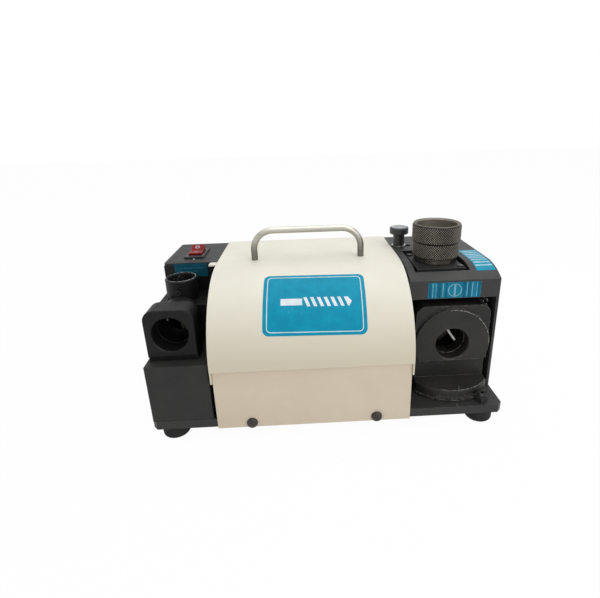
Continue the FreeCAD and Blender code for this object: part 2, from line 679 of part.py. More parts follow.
def chuck_collet():
    collet_z = (CHUCK_TIP_BOTTOM + 3.2, CHUCK_NECK_TOP - 2.0)
    collet = rod_z(CHUCK_X, CHUCK_Y, COLLET_RADIUS, collet_z)
    cuts = [rod_z(CHUCK_X, CHUCK_Y, DRILL_RADIUS, (collet_z[0] - 1, collet_z[1] + 1))]
    for step in range(3):
        slot_z = (collet_z[0] - 1, COLLET_SLOT_TOP)
        slot = box((-COLLET_SLOT / 2, COLLET_SLOT / 2), (0, COLLET_RADIUS + 1), slot_z)
        slot.rotate(point(0, 0, 0), point(0, 0, 1), 120 * step)
        slot.translate(point(CHUCK_X, CHUCK_Y, 0))
        cuts.append(slot)
    return without(collet, cuts)


def chuck_nut():
    edge = 1.2
    thread = CHUCK_NECK_RADIUS + 0.06
    ledge = CHUCK_NECK_TOP + 0.6
    profile = [(thread, NUT_BOTTOM), (NUT_RADIUS - edge, NUT_BOTTOM), (NUT_RADIUS, NUT_BOTTOM + edge)]
    profile += [(NUT_RADIUS, NUT_TOP - edge), (NUT_RADIUS - edge, NUT_TOP)]
    profile += [(NUT_MOUTH + edge, NUT_TOP), (NUT_MOUTH, NUT_TOP - edge)]
    profile += [(NUT_MOUTH, ledge), (thread, ledge)]
    return turned(profile, CHUCK_X, CHUCK_Y)


# Swivelling cutting port
BLOCK_SCREW_RADIUS = 2.5
BLOCK_SCREW_Y = SWIVEL_Y - 7.7
BLOCK_SCREWS = (SWIVEL_X - BLOCK_SCREW_OFFSET, SWIVEL_X + BLOCK_SCREW_OFFSET)
BLOCK_SCREW_TOP = 42.0
BLOCK_HEAD_RADIUS = 4.4
BLOCK_HEAD_TOP = TABLE_BOTTOM + 5.0
CLAMP_HALF = 4.2
CLAMP_OUTER = 54.0
CLAMP_GAP = 0.6
LOCK_HEAD_RADIUS = 3.6
LOCK_HEAD_HEIGHT = 3.4
CUT_PIN_SPAN = (-6.8, 21.0)


def table_layer(radius, half, z):
    """Front part of a disc about the pivot, with a round hub behind it."""
    disc = rod_z(SWIVEL_X, SWIVEL_Y, radius, z)
    kept_y = (SWIVEL_Y - radius - 1, SWIVEL_Y + TABLE_BACK)
    kept = box((SWIVEL_X - half, SWIVEL_X + half), kept_y, z)
    hub = rod_z(SWIVEL_X, SWIVEL_Y, TABLE_HUB_RADIUS, z)
    return union([disc.common(kept), hub])


def swivel_table():
    rim = table_layer(TABLE_RIM_RADIUS, TABLE_HALF + 0.5, (TABLE_BOTTOM, TABLE_RIM_TOP))
    disc = table_layer(TABLE_RADIUS, TABLE_HALF, (TABLE_RIM_TOP, TABLE_TOP))
    arc_y = SWIVEL_Y - TABLE_RADIUS / 2
    disc = rounded(disc, 0.7, lambda middle: middle.z > TABLE_TOP - 0.1 and middle.y < arc_y)
    holes = [rod_z(SWIVEL_X, SWIVEL_Y, PIVOT_RADIUS + 0.05, (TABLE_BOTTOM - 1, PIVOT_TOP + 0.5))]
    for x in BLOCK_SCREWS:
        holes.append(rod_z(x, BLOCK_SCREW_Y, BLOCK_HEAD_RADIUS + 0.2, (TABLE_BOTTOM - 1, BLOCK_HEAD_TOP)))
        shank_z = (TABLE_BOTTOM, TABLE_TOP + 1)
        holes.append(rod_z(x, BLOCK_SCREW_Y, BLOCK_SCREW_RADIUS + SCREW_SLACK, shank_z))
    return without(union([rim, disc]), holes)


def swivel_pivot_pin():
    flange = rod_z(SWIVEL_X, SWIVEL_Y, PIVOT_RADIUS + 4, (BASE_BOTTOM - 3, BASE_BOTTOM))
    return union([flange, rod_z(SWIVEL_X, SWIVEL_Y, PIVOT_RADIUS, (BASE_BOTTOM, PIVOT_TOP))])


def cutting_pin(start, end, radius):
    angle = math.radians(CUT_PIN_ANGLE)
    way = point(math.cos(angle), 0, math.sin(angle))
    side = point(math.sin(angle), 0, -math.cos(angle))
    base = point(SWIVEL_X, CUT_PIN_Y, CUT_Z) + side * CUT_PIN_OFFSET + way * start
    return Part.makeCylinder(radius, end - start, base, way)


def cutting_port_block():
    body = arch(CUT_HALF, CUT_STEP_Z, CUT_TOP, CUT_CORNER, SWIVEL_X, (CUT_BODY_FRONT, CUT_BACK))
    boss = rod_y(SWIVEL_X, CUT_Z, CUT_BOSS_RADIUS, (CUT_BOSS_FRONT, CUT_BODY_FRONT))
    boss = rounded(boss, 0.8, lambda middle: middle.y < CUT_BOSS_FRONT + 0.1)
    below = box((SWIVEL_X - 60, SWIVEL_X + 60), (CUT_BOSS_FRONT - 1, CUT_BACK), (0, CUT_STEP_Z))
    boss = boss.cut(below)
    foot_x = (SWIVEL_X - CUT_PEDESTAL_HALF, SWIVEL_X + CUT_PEDESTAL_HALF)
    foot = box(foot_x, (CUT_PEDESTAL_FRONT, CUT_BACK), (TABLE_TOP, CUT_STEP_Z))
    cuts = port_bore(SWIVEL_X, CUT_Z, CUT_BOSS_FRONT, CUT_SEAT_DEPTH, CUT_BACK + 1)
    cuts.append(cutting_pin(PORT_DEEP_RADIUS - 2, CUT_PIN_SPAN[1] + 0.2, CUT_PIN_RADIUS))
    for x in BLOCK_SCREWS:
        shank_z = (TABLE_TOP - 1, BLOCK_SCREW_TOP + 1)
        cuts.append(rod_z(x, BLOCK_SCREW_Y, BLOCK_SCREW_RADIUS + SCREW_SLACK, shank_z))
    return without(union([body, boss, foot]), cuts)


def cutting_index_pin():
    return cutting_pin(CUT_PIN_SPAN[0], CUT_PIN_SPAN[1], CUT_PIN_RADIUS)


def port_block_screws():
    screws = []
    for x in BLOCK_SCREWS:
        head = (TABLE_BOTTOM + 0.6, BLOCK_HEAD_TOP)
        shank = (BLOCK_HEAD_TOP, BLOCK_SCREW_TOP)
        screws.append(cap_screw(x, BLOCK_SCREW_Y, head, BLOCK_HEAD_RADIUS, BLOCK_SCREW_RADIUS, shank))
    return group(screws)


def swivel_clamp():
    width = (-CLAMP_HALF, CLAMP_HALF)
    heel_x = (TABLE_RIM_RADIUS + CLAMP_GAP, CLAMP_OUTER)
    heel = box(heel_x, width, (BASE_TOP, CLAMP_TOP))
    toe = box((TABLE_RADIUS + CLAMP_GAP, heel_x[0]), width, (TABLE_RIM_TOP + 0.4, CLAMP_TOP))
    hole = rod_z(CLAMP_RADIUS, 0, LOCK_SCREW_RADIUS + SCREW_SLACK, (BASE_TOP - 1, CLAMP_TOP + 1))
    clamp = union([heel, toe]).cut(hole)
    clamp.rotate(point(0, 0, 0), point(0, 0, 1), CLAMP_ANGLE)
    clamp.translate(point(SWIVEL_X, SWIVEL_Y, 0))
    return clamp


def swivel_lock_screw():
    head_z = (CLAMP_TOP + 0.3, CLAMP_TOP + 0.3 + LOCK_HEAD_HEIGHT)
    shank_z = (LOCK_SCREW_BOTTOM, head_z[0])
    screw = cap_screw(LOCK_X, LOCK_Y, head_z, LOCK_HEAD_RADIUS, LOCK_SCREW_RADIUS, shank_z)
    socket = hexagon(3.0, 3.0, point(LOCK_X, LOCK_Y, head_z[1] - 2.0), point(0, 0, 1))
    return screw.cut(socket)


# Cream covers
COVER_X = (COVER_LEFT, COVER_RIGHT)
COVER_ARC_Y = COVER_FRONT + COVER_ARC_RADIUS
COVER_ARC_TOP_Y = COVER_ARC_Y - COVER_ARC_RADIUS * math.sin(COVER_SLOPE)
COVER_ARC_TOP_Z = COVER_TOP - (COVER_CREASE_Y - COVER_ARC_TOP_Y) * math.tan(COVER_SLOPE)
COVER_ARC_Z = COVER_ARC_TOP_Z - COVER_ARC_RADIUS * math.cos(COVER_SLOPE)
TONGUE_Y = (-5.0, 3.5)
TONGUE_LENGTH = 7.5
HANDLE_SCREW_RADIUS = 2.0
HANDLE_HEAD_RADIUS = 4.25


def cover_band(depth):
    """Side outline of the bent cover sheet, from its outer face to a depth below it."""
    half_turn = (COVER_SLOPE + math.pi / 2) / 2

    def on_arc(angle, inset):
        radius = COVER_ARC_RADIUS - inset
        return point(0, COVER_ARC_Y - radius * math.sin(angle), COVER_ARC_Z + radius * math.cos(angle))

    def line_and_arc(inset):
        crease_y = COVER_CREASE_Y + inset * math.tan(COVER_SLOPE / 2)
        back = point(0, BACK, COVER_TOP - inset)
        crease = point(0, crease_y, COVER_TOP - inset)
        start = on_arc(COVER_SLOPE, inset)
        end = on_arc(math.pi / 2, inset)
        foot = point(0, COVER_FRONT + inset, COVER_SEAM)
        bend = Part.Arc(start, on_arc(half_turn, inset), end).toShape()
        edges = [Part.makeLine(back, crease), Part.makeLine(crease, start)]
        edges += [bend, Part.makeLine(end, foot)]
        return back, foot, edges

    outer_back, outer_foot, outer = line_and_arc(0)
    inner_back, inner_foot, inner = line_and_arc(depth)
    seam = Part.makeLine(outer_foot, inner_foot)
    rear = Part.makeLine(inner_back, outer_back)
    return Part.Face(Part.Wire(Part.__sortEdges__(outer + [seam] + inner + [rear])))


def extruded_band(depth, x):
    band = cover_band(depth)
    band.translate(point(x[0], 0, 0))
    return band.extrude(point(x[1] - x[0], 0, 0))


def upper_cover():
    left = (COVER_LEFT, COVER_LEFT + COVER_SHEET)
    right = (COVER_RIGHT - COVER_SHEET, COVER_RIGHT)
    pieces = [extruded_band(COVER_SHEET, COVER_X)]
    for side in (left, right):
        pieces.append(extruded_band(COVER_FLANGE, side))
        tab_y = (COVER_FRONT + 0.5, COVER_FRONT + COVER_FLANGE)
        pieces.append(box(side, tab_y, (COVER_TAB_BOTTOM, COVER_SEAM)))
    tongue_z = (COVER_TOP - COVER_SHEET - 0.8, COVER_TOP - 0.9)
    pieces.append(box((COVER_LEFT - TONGUE_LENGTH, COVER_LEFT + 0.5), TONGUE_Y, tongue_z))
    cover = union(pieces)
    drill = (COVER_TOP - 5, COVER_TOP + 1)
    return without(cover, [rod_z(x, HANDLE_Y, HANDLE_SCREW_RADIUS + SCREW_SLACK, drill) for x in HANDLE_X])


def lower_apron():
    sheet_y = (BASE_FRONT - APRON_SHEET, BASE_FRONT)
    sheet = box(APRON_X, sheet_y, (APRON_BOTTOM, APRON_TOP))
    ledge = box(APRON_X, (BASE_FRONT, BASE_FRONT + APRON_LEDGE), (APRON_TOP - APRON_SHEET, APRON_TOP))
    holes = []
    for x in APRON_SCREW_X:
        reach = (sheet_y[0] - 1, sheet_y[1] + 1)
        holes.append(rod_y(x, APRON_SCREW_Z, APRON_SCREW_RADIUS + SCREW_SLACK, reach))
    return without(union([sheet, ledge]), holes)


def apron_screws():
    screws = []
    face = BASE_FRONT - APRON_SHEET
    for x in APRON_SCREW_X:
        head = rod_y(x, APRON_SCREW_Z, APRON_HEAD_RADIUS, (face - APRON_HEAD_HEIGHT, face))
        head = rounded(head, APRON_HEAD_HEIGHT - 0.5, lambda middle: middle.y < face - 3.0)
        shank = rod_y(x, APRON_SCREW_Z, APRON_SCREW_RADIUS, (face, APRON_SCREW_END))
        screws.append(union([head, shank]))
    return group(screws)


REAR_X = STRAP_X
REAR_Y = (77.0, 78.5)
REAR_SCREWS = [(x, z) for x in (-92.0, 63.5) for z in (30.0, 130.0)]
REAR_HEAD_RADIUS = 4.0
REAR_HEAD_HEIGHT = 2.4
REAR_VENTS = 11
REAR_VENT_START = -70.0
REAR_VENT_STEP = 11.0
REAR_VENT_WIDTH = 4.0
REAR_VENT_Z = (56.0, 104.0)


def rear_panel():
    sheet = box(REAR_X, REAR_Y, (BASE_TOP, COVER_TOP - 1.9))
    foot_x = (cradle_span(CRADLE_X[0])[1] + 2, cradle_span(CRADLE_X[1])[0] - 2)
    foot = box(foot_x, (REAR_Y[0] - 8, REAR_Y[0]), (BASE_TOP, BASE_TOP + 1.5))
    through = (REAR_Y[0] - 1, REAR_Y[1] + 1)
    cuts = [rod_y(x, z, APRON_SCREW_RADIUS + SCREW_SLACK, through) for x, z in REAR_SCREWS]
    for step in range(REAR_VENTS):
        x = REAR_VENT_START + step * REAR_VENT_STEP
        cuts.append(box((x, x + REAR_VENT_WIDTH), through, REAR_VENT_Z))
    return without(union([sheet, foot]), cuts)


def rear_panel_screws():
    screws = []
    for x, z in REAR_SCREWS:
        head = rod_y(x, z, REAR_HEAD_RADIUS, (REAR_Y[1], REAR_Y[1] + REAR_HEAD_HEIGHT))
        head = rounded(head, REAR_HEAD_HEIGHT - 0.8, lambda middle: middle.y > REAR_Y[1] + 2.3)
        screws.append(union([head, rod_y(x, z, APRON_SCREW_RADIUS, (REAR_Y[0] - 6, REAR_Y[1]))]))
    return group(screws)


# Handle and lift frame
def carry_handle():
    top = HANDLE_TOP - HANDLE_ROD
    lean = HANDLE_BEND * (1 - math.sqrt(0.5))
    left, right = HANDLE_X
    corner = top - HANDLE_BEND
    foot = point(left, HANDLE_Y, COVER_TOP)
    rise = point(left, HANDLE_Y, corner)
    over = point(left + HANDLE_BEND, HANDLE_Y, top)
    across = point(right - HANDLE_BEND, HANDLE_Y, top)
    fall = point(right, HANDLE_Y, corner)
    end = point(right, HANDLE_Y, COVER_TOP)
    edges = [
        Part.makeLine(foot, rise),
        Part.Arc(rise, point(left + lean, HANDLE_Y, top - lean), over).toShape(),
        Part.makeLine(over, across),
        Part.Arc(across, point(right - lean, HANDLE_Y, top - lean), fall).toShape(),
        Part.makeLine(fall, end),
    ]
    section = Part.Wire(Part.makeCircle(HANDLE_ROD, foot, point(0, 0, 1)))
    bar = Part.Wire(edges).makePipeShell([section], True, True)
    thread_z = (COVER_TOP - 1, COVER_TOP + 12)
    return without(bar, [rod_z(x, HANDLE_Y, HANDLE_SCREW_RADIUS, thread_z) for x in HANDLE_X])


def handle_screws():
    under = STRAP_TOP - STRAP_SHEET
    screws = []
    for x in HANDLE_X:
        head = (under - 5, under)
        shank = (under, COVER_TOP + 11)
        screws.append(cap_screw(x, HANDLE_Y, head, HANDLE_HEAD_RADIUS, HANDLE_SCREW_RADIUS, shank))
    return group(screws)


END_PLATE_GAP = 1.0
APRON_LEDGE_GAP = 0.3


def end_plate(x):
    """Upright plate that closes one end under the cover's bend, with a notch for the apron's ledge."""
    radius = COVER_ARC_RADIUS - COVER_SHEET - END_PLATE_GAP
    y = (BASE_FRONT + APRON_LEDGE_GAP, STRAP_LEG_BACK)
    bend = rod_x(COVER_ARC_Y, COVER_ARC_Z, radius, x).common(box(x, y, (COVER_ARC_Z, STRAP_TOP)))
    wall = box(x, y, (BASE_TOP, COVER_ARC_Z))
    notch_y = (y[0] - 1, BASE_FRONT + APRON_LEDGE + APRON_LEDGE_GAP)
    notch_z = (APRON_TOP - APRON_SHEET - APRON_LEDGE_GAP, APRON_TOP + APRON_LEDGE_GAP)
    return union([bend, wall]).cut(box(x, notch_y, notch_z))


def lift_frame():
    under = STRAP_TOP - STRAP_SHEET
    leg_y = (STRAP_Y[0], STRAP_LEG_BACK)
    foot_z = (BASE_TOP, BASE_TOP + STRAP_SHEET)
    left_leg = (STRAP_X[0], STRAP_X[0] + STRAP_SHEET)
    right_leg = (STRAP_X[1] - STRAP_SHEET, STRAP_X[1])
    pieces = [box(STRAP_X, STRAP_Y, (under, STRAP_TOP))]
    pieces += [end_plate(left_leg), end_plate(right_leg)]
    pieces.append(box((STRAP_X[0], STRAP_X[0] + STRAP_FOOT), leg_y, foot_z))
    pieces.append(box((STRAP_X[1] - STRAP_FOOT, STRAP_X[1]), leg_y, foot_z))
    through = (under - 1, STRAP_TOP + 1)
    holes = [rod_z(x, HANDLE_Y, HANDLE_SCREW_RADIUS + SCREW_SLACK, through) for x in HANDLE_X]
    return without(union(pieces), holes)


# Motor, spindle and wheels
LEFT_BEARING_X = (CAN_X[0] - 1 - BEARING_WIDTH, CAN_X[0] - 1)
RIGHT_BEARING_X = (CAN_X[1] + 1, CAN_X[1] + 1 + BEARING_WIDTH)
WINDING_LENGTH = 15.0
WINDING_OUTER = 40.0
WINDING_INNER = 27.5
BELL_VENTS = 8
BELL_VENT_CIRCLE = 31.0
BELL_VENT_RADIUS = 6.0
FAN_BLADES = 8
FAN_RADIUS = 36.0
FAN_HUB_RADIUS = 14.0
FAN_WIDTH = 10.0
FAN_DISC = 1.5


def motor_can():
    return spindle_ring(CAN_RADIUS, CAN_RADIUS - CAN_SHEET, CAN_X)


def end_bell(bell_x, bearing_x):
    bell = spindle_ring(CAN_RADIUS, SHAFT_THICK_RADIUS + 0.5, bell_x)
    pocket = [rod_x(MOTOR_Y, MOTOR_Z, BEARING_RADIUS, bearing_x)]
    for step in range(BELL_VENTS):
        angle = 2 * math.pi * step / BELL_VENTS
        y = MOTOR_Y + BELL_VENT_CIRCLE * math.cos(angle)
        z = MOTOR_Z + BELL_VENT_CIRCLE * math.sin(angle)
        pocket.append(rod_x(y, z, BELL_VENT_RADIUS, (bell_x[0] - 1, bell_x[1] + 1)))
    return without(bell, pocket)


def left_end_bell():
    return end_bell((CAN_X[0] - BELL_LENGTH, CAN_X[0]), (LEFT_BEARING_X[0], CAN_X[0]))


def right_end_bell():
    return end_bell((CAN_X[1], CAN_X[1] + BELL_LENGTH), (CAN_X[1], RIGHT_BEARING_X[1]))


def motor_bearings():
    inner = SHAFT_RADIUS + 0.03
    return group([spindle_ring(BEARING_RADIUS, inner, x) for x in (LEFT_BEARING_X, RIGHT_BEARING_X)])


def stator_core():
    return spindle_ring(CAN_RADIUS - CAN_SHEET, ROTOR_RADIUS + 0.5, CORE_X)


def stator_windings():
    left = (CORE_X[0] - WINDING_LENGTH, CORE_X[0])
    right = (CORE_X[1], CORE_X[1] + WINDING_LENGTH)
    return group([spindle_ring(WINDING_OUTER, WINDING_INNER, x) for x in (left, right)])


def rotor_core():
    return spindle_ring(ROTOR_RADIUS, SHAFT_THICK_RADIUS, CORE_X)


def motor_shaft():
    thick = rod_x(MOTOR_Y, MOTOR_Z, SHAFT_THICK_RADIUS, (CAN_X[0] + 1, CAN_X[1] - 1))
    return union([rod_x(MOTOR_Y, MOTOR_Z, SHAFT_RADIUS, SHAFT_X), thick])


def cooling_fan():
    fan_x = (CAN_X[0] + 2, CAN_X[0] + 2 + FAN_WIDTH)
    pieces = [rod_x(MOTOR_Y, MOTOR_Z, FAN_HUB_RADIUS, fan_x)]
    pieces.append(rod_x(MOTOR_Y, MOTOR_Z, FAN_RADIUS, (fan_x[0], fan_x[0] + FAN_DISC)))
    for step in range(FAN_BLADES):
        blade = box(fan_x, (MOTOR_Y - 1, MOTOR_Y + 1), (MOTOR_Z, MOTOR_Z + FAN_RADIUS - 0.5))
        blade.rotate(point(0, MOTOR_Y, MOTOR_Z), point(1, 0, 0), 360 * step / FAN_BLADES)
        pieces.append(blade)
    return union(pieces).cut(rod_x(MOTOR_Y, MOTOR_Z, SHAFT_THICK_RADIUS, (fan_x[0] - 1, fan_x[1] + 1)))


def cradle_span(centre):
    return (centre - CRADLE_WIDTH / 2, centre + CRADLE_WIDTH / 2)


STRAP_SCREWS = [(x, MOTOR_Y + side * STRAP_SCREW_OFFSET) for x in CRADLE_X for side in (-1, 1)]
STRAP_EAR = 2.0
STRAP_HOOP = 1.5
STRAP_SCREW_RADIUS = 2.0
STRAP_HEAD_RADIUS = 3.5
CRADLE_Y = (MOTOR_Y - CRADLE_HALF, MOTOR_Y + CRADLE_HALF)


def motor_cradles():
    cradles = []
    for centre in CRADLE_X:
        span = cradle_span(centre)
        block = box(span, CRADLE_Y, (BASE_TOP, CRADLE_TOP))
        cuts = [rod_x(MOTOR_Y, MOTOR_Z, CAN_RADIUS, (span[0] - 1, span[1] + 1))]
        for x, y in STRAP_SCREWS:
            cuts.append(rod_z(x, y, STRAP_SCREW_RADIUS + SCREW_SLACK, (CRADLE_TOP - 20, CRADLE_TOP + 1)))
        cradles.append(without(block, cuts))
    return group(cradles)


def motor_straps():
    straps = []
    for centre in CRADLE_X:
        span = cradle_span(centre)
        hoop = spindle_ring(CAN_RADIUS + STRAP_HOOP, CAN_RADIUS, span)
        ears = box(span, CRADLE_Y, (CRADLE_TOP, CRADLE_TOP + STRAP_EAR))
        ears = ears.cut(rod_x(MOTOR_Y, MOTOR_Z, CAN_RADIUS, span))
        low = box(span, CRADLE_Y, (0, CRADLE_TOP))
        through = (CRADLE_TOP - 1, CRADLE_TOP + 5)
        holes = [rod_z(x, y, STRAP_SCREW_RADIUS + SCREW_SLACK, through) for x, y in STRAP_SCREWS]
        straps.append(without(union([hoop.cut(low), ears]), holes))
    return group(straps)


def strap_screws():
    head = (CRADLE_TOP + STRAP_EAR, CRADLE_TOP + STRAP_EAR + 3.5)
    shank = (CRADLE_TOP - 18, head[0])
    screws = []
    for x, y in STRAP_SCREWS:
        screws.append(cap_screw(x, y, head, STRAP_HEAD_RADIUS, STRAP_SCREW_RADIUS, shank))
    return group(screws)


WHEEL_BEVEL = math.radians(31)
WHEEL_NUT_ACROSS = 19.0


def grinding_wheel(span, bevel):
    """Wheel with a bevelled shoulder on one side, about the spindle."""
    start, end = span
    outline = [(start, SHAFT_RADIUS), (start, WHEEL_RADIUS), (end - bevel, WHEEL_RADIUS)]
    outline += [(end, WHEEL_RADIUS - bevel * math.tan(WHEEL_BEVEL)), (end, SHAFT_RADIUS)]
    corners = [point(x, MOTOR_Y, MOTOR_Z + radius) for x, radius in outline]
    face = Part.Face(Part.makePolygon(corners + corners[:1]))
    return face.revolve(point(0, MOTOR_Y, MOTOR_Z), point(1, 0, 0), 360)


def left_wheel():
    return grinding_wheel(LEFT_WHEEL_X, 6.0)


def right_wheel():
    return grinding_wheel(RIGHT_WHEEL_X, 8.0)


def wheel_flanges():
    spans = [(LEFT_WHEEL_X[0] - 3, LEFT_WHEEL_X[0]), (LEFT_WHEEL_X[1], LEFT_WHEEL_X[1] + 4)]
    spans += [(RIGHT_WHEEL_X[0] - 4, RIGHT_WHEEL_X[0]), (RIGHT_WHEEL_X[1], RIGHT_WHEEL_X[1] + 3)]
    return group([spindle_ring(FLANGE_RADIUS, SHAFT_RADIUS, span) for span in spans])


def wheel_spacers():
    left = (LEFT_WHEEL_X[1] + 4, CAN_X[0] - BELL_LENGTH - 0.5)
    right = (CAN_X[1] + BELL_LENGTH + 0.5, RIGHT_WHEEL_X[0] - 4)
    return group([spindle_ring(SPACER_RADIUS, SHAFT_RADIUS, span) for span in (left, right)])


def wheel_nuts():
    nuts = []
    for start, height in ((LEFT_WHEEL_X[0] - 9, 6.0), (RIGHT_WHEEL_X[1] + 3, 8.0)):
        nut = hexagon(WHEEL_NUT_ACROSS, height, point(start, MOTOR_Y, MOTOR_Z), point(1, 0, 0))
        nuts.append(nut.cut(rod_x(MOTOR_Y, MOTOR_Z, SHAFT_RADIUS, (start, start + height))))
    return group(nuts)


# Electrical pieces
ROCKER_PIN_RADIUS = 1.2
ROCKER_PIN_HALF = 7.9
SWITCH_BODY_HALF_X = 8.2
SWITCH_BODY_HALF_Y = 11.8
SWITCH_ROOM_HALF_Y = 11.0
SWITCH_ROOM_BOTTOM = 132.0
SWITCH_BODY_BOTTOM = 121.0
SWITCH_TAB_BOTTOM = 112.5
SWITCH_TABS = (-8.0, 0.0, 8.0)
INLET_FLANGE_HALF = (25.0, 12.0)
INLET_BODY_HALF = (13.5, 10.0)
INLET_SOCKET_HALF = (12.0, 8.0)
INLET_BODY_END = 61.0
INLET_SOCKET_END = 65.0
INLET_PIN_TIP = 77.0
INLET_PINS = ((-7.0, -2.0), (0.0, 2.0), (7.0, -2.0))
INLET_SCREW_END = 71.0
CAPACITOR_X = (-70.0, -15.0)
CAPACITOR_Y = -52.0
CAPACITOR_Z = 36.5
CAPACITOR_RADIUS = 17.0
SADDLE_X = (-60.0, -25.0)
SADDLE_HALF = 10.0
SADDLE_TOP = 24.0


def switch_body():
    body_x = (SWITCH_X - SWITCH_BODY_HALF_X, SWITCH_X + SWITCH_BODY_HALF_X)
    body_y = (SWITCH_Y - SWITCH_BODY_HALF_Y, SWITCH_Y + SWITCH_BODY_HALF_Y)
    bezel_x = (SWITCH_X - BEZEL_HALF_X, SWITCH_X + BEZEL_HALF_X)
    bezel_y = (SWITCH_Y - BEZEL_HALF_Y, SWITCH_Y + BEZEL_HALF_Y)
    bezel = box(bezel_x, bezel_y, (LEFT_TOP, BEZEL_TOP))
    bezel = rounded(bezel, 0.8, lambda middle: middle.z > BEZEL_TOP - 0.1)
    pieces = [bezel, box(body_x, body_y, (SWITCH_BODY_BOTTOM, LEFT_TOP))]
    tab_z = (SWITCH_TAB_BOTTOM, SWITCH_BODY_BOTTOM)
    for offset in SWITCH_TABS:
        y = SWITCH_Y + offset
        pieces.append(box((SWITCH_X - 2.4, SWITCH_X + 2.4), (y - 0.4, y + 0.4), tab_z))
    room_x = (SWITCH_X - ROCKER_HALF_X - 0.3, SWITCH_X + ROCKER_HALF_X + 0.3)
    room_y = (SWITCH_Y - SWITCH_ROOM_HALF_Y, SWITCH_Y + SWITCH_ROOM_HALF_Y)
    room = box(room_x, room_y, (SWITCH_ROOM_BOTTOM, BEZEL_TOP + 1))
    pins = rod_x(SWITCH_Y, ROCKER_PIVOT_Z, ROCKER_PIN_RADIUS + 0.06, body_x)
    return without(union(pieces), [room, pins])


def switch_rocker():
    side = [(-ROCKER_HALF_Y, 7.0), (0.0, 5.0), (ROCKER_HALF_Y, 7.0)]
    side += [(9.4, 1.0), (5.0, -5.0), (-5.0, -5.0), (-9.4, 1.0)]
    start = SWITCH_X - ROCKER_HALF_X
    corners = [point(start, SWITCH_Y + y, ROCKER_PIVOT_Z + z) for y, z in side]
    rocker = Part.Face(Part.makePolygon(corners + corners[:1])).extrude(point(2 * ROCKER_HALF_X, 0, 0))
    rocker = rounded(rocker, 0.7, lambda middle: middle.z > ROCKER_PIVOT_Z + 2)
    rocker.rotate(point(SWITCH_X, SWITCH_Y, ROCKER_PIVOT_Z), point(1, 0, 0), ROCKER_TILT)
    pin_x = (SWITCH_X - ROCKER_PIN_HALF, SWITCH_X + ROCKER_PIN_HALF)
    pins = rod_x(SWITCH_Y, ROCKER_PIVOT_Z, ROCKER_PIN_RADIUS, pin_x)
    return union([rocker, pins])


def inlet_box(half, y):
    """Box about the inlet's middle, half as wide and half as high as the pair says."""
    return box((INLET_X - half[0], INLET_X + half[0]), y, (INLET_Z - half[1], INLET_Z + half[1]))


def power_inlet():
    flange = inlet_box(INLET_FLANGE_HALF, (BACK, INLET_FACE))
    flange = rounded(flange, 0.6, lambda middle: middle.y > INLET_FACE - 0.1)
    body = inlet_box(INLET_BODY_HALF, (INLET_BODY_END, BACK))
    socket = inlet_box(INLET_SOCKET_HALF, (INLET_SOCKET_END, INLET_FACE + 1))
    cuts = [socket]
    for x in INLET_SCREWS:
        cuts.append(rod_y(x, INLET_Z, INLET_SCREW_RADIUS + SCREW_SLACK, (BACK - 1, INLET_FACE + 1)))
    shell = without(union([flange, body]), cuts)
    pins = []
    for x, z in INLET_PINS:
        pin_x = (INLET_X + x - 1, INLET_X + x + 1)
        pins.append(box(pin_x, (INLET_SOCKET_END - 1, INLET_PIN_TIP), (INLET_Z + z - 2, INLET_Z + z + 2)))
    return union([shell] + pins)


def inlet_screws():
    screws = []
    for x in INLET_SCREWS:
        head = rod_y(x, INLET_Z, 2.7, (INLET_FACE, INLET_FACE + 1.2))
        shank = rod_y(x, INLET_Z, INLET_SCREW_RADIUS, (INLET_SCREW_END, INLET_FACE))
        screws.append(union([head, shank]))
    return group(screws)


def start_capacitor():
    can = rod_x(CAPACITOR_Y, CAPACITOR_Z, CAPACITOR_RADIUS, CAPACITOR_X)
    saddle_y = (CAPACITOR_Y - SADDLE_HALF, CAPACITOR_Y + SADDLE_HALF)
    saddle = box(SADDLE_X, saddle_y, (BASE_TOP, SADDLE_TOP))
    return union([can, saddle])


NODES = [
    base_plate, rubber_feet, foot_screws, housing_screws,
    left_front_box, left_housing, left_top_plate, relief_port_block, relief_index_pin,
    thinning_port_tube, thinning_set_screw,
    right_housing, setting_bracket, setting_plate, setting_cup, setting_plate_screws,
    setting_stop, knob_washer, thumb_knob, knob_cap,
    chuck_body, chuck_collet, chuck_nut,
    swivel_table, swivel_pivot_pin, cutting_port_block, cutting_index_pin, port_block_screws,
    swivel_clamp, swivel_lock_screw,
    upper_cover, lower_apron, apron_screws, rear_panel, rear_panel_screws,
    carry_handle, handle_screws, lift_frame,
    motor_can, left_end_bell, right_end_bell, motor_bearings, stator_core, stator_windings,
    rotor_core, motor_shaft, cooling_fan, motor_cradles, motor_straps, strap_screws,
    left_wheel, right_wheel, wheel_flanges, wheel_spacers, wheel_nuts,
    switch_body, switch_rocker, power_inlet, inlet_screws, start_capacitor,
]

os.makedirs("parts", exist_ok=True)
for node in NODES:
    shape = node()
    shape.translate(point(0, 0, -FOOT_BOTTOM))
    print(node.__name__, shape.isValid(), len(shape.Solids), round(shape.Volume))
    shape.exportStep("parts/" + node.__name__ + ".step")
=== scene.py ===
import bmesh
import bpy
import json
import math
from mathutils import Matrix, Vector


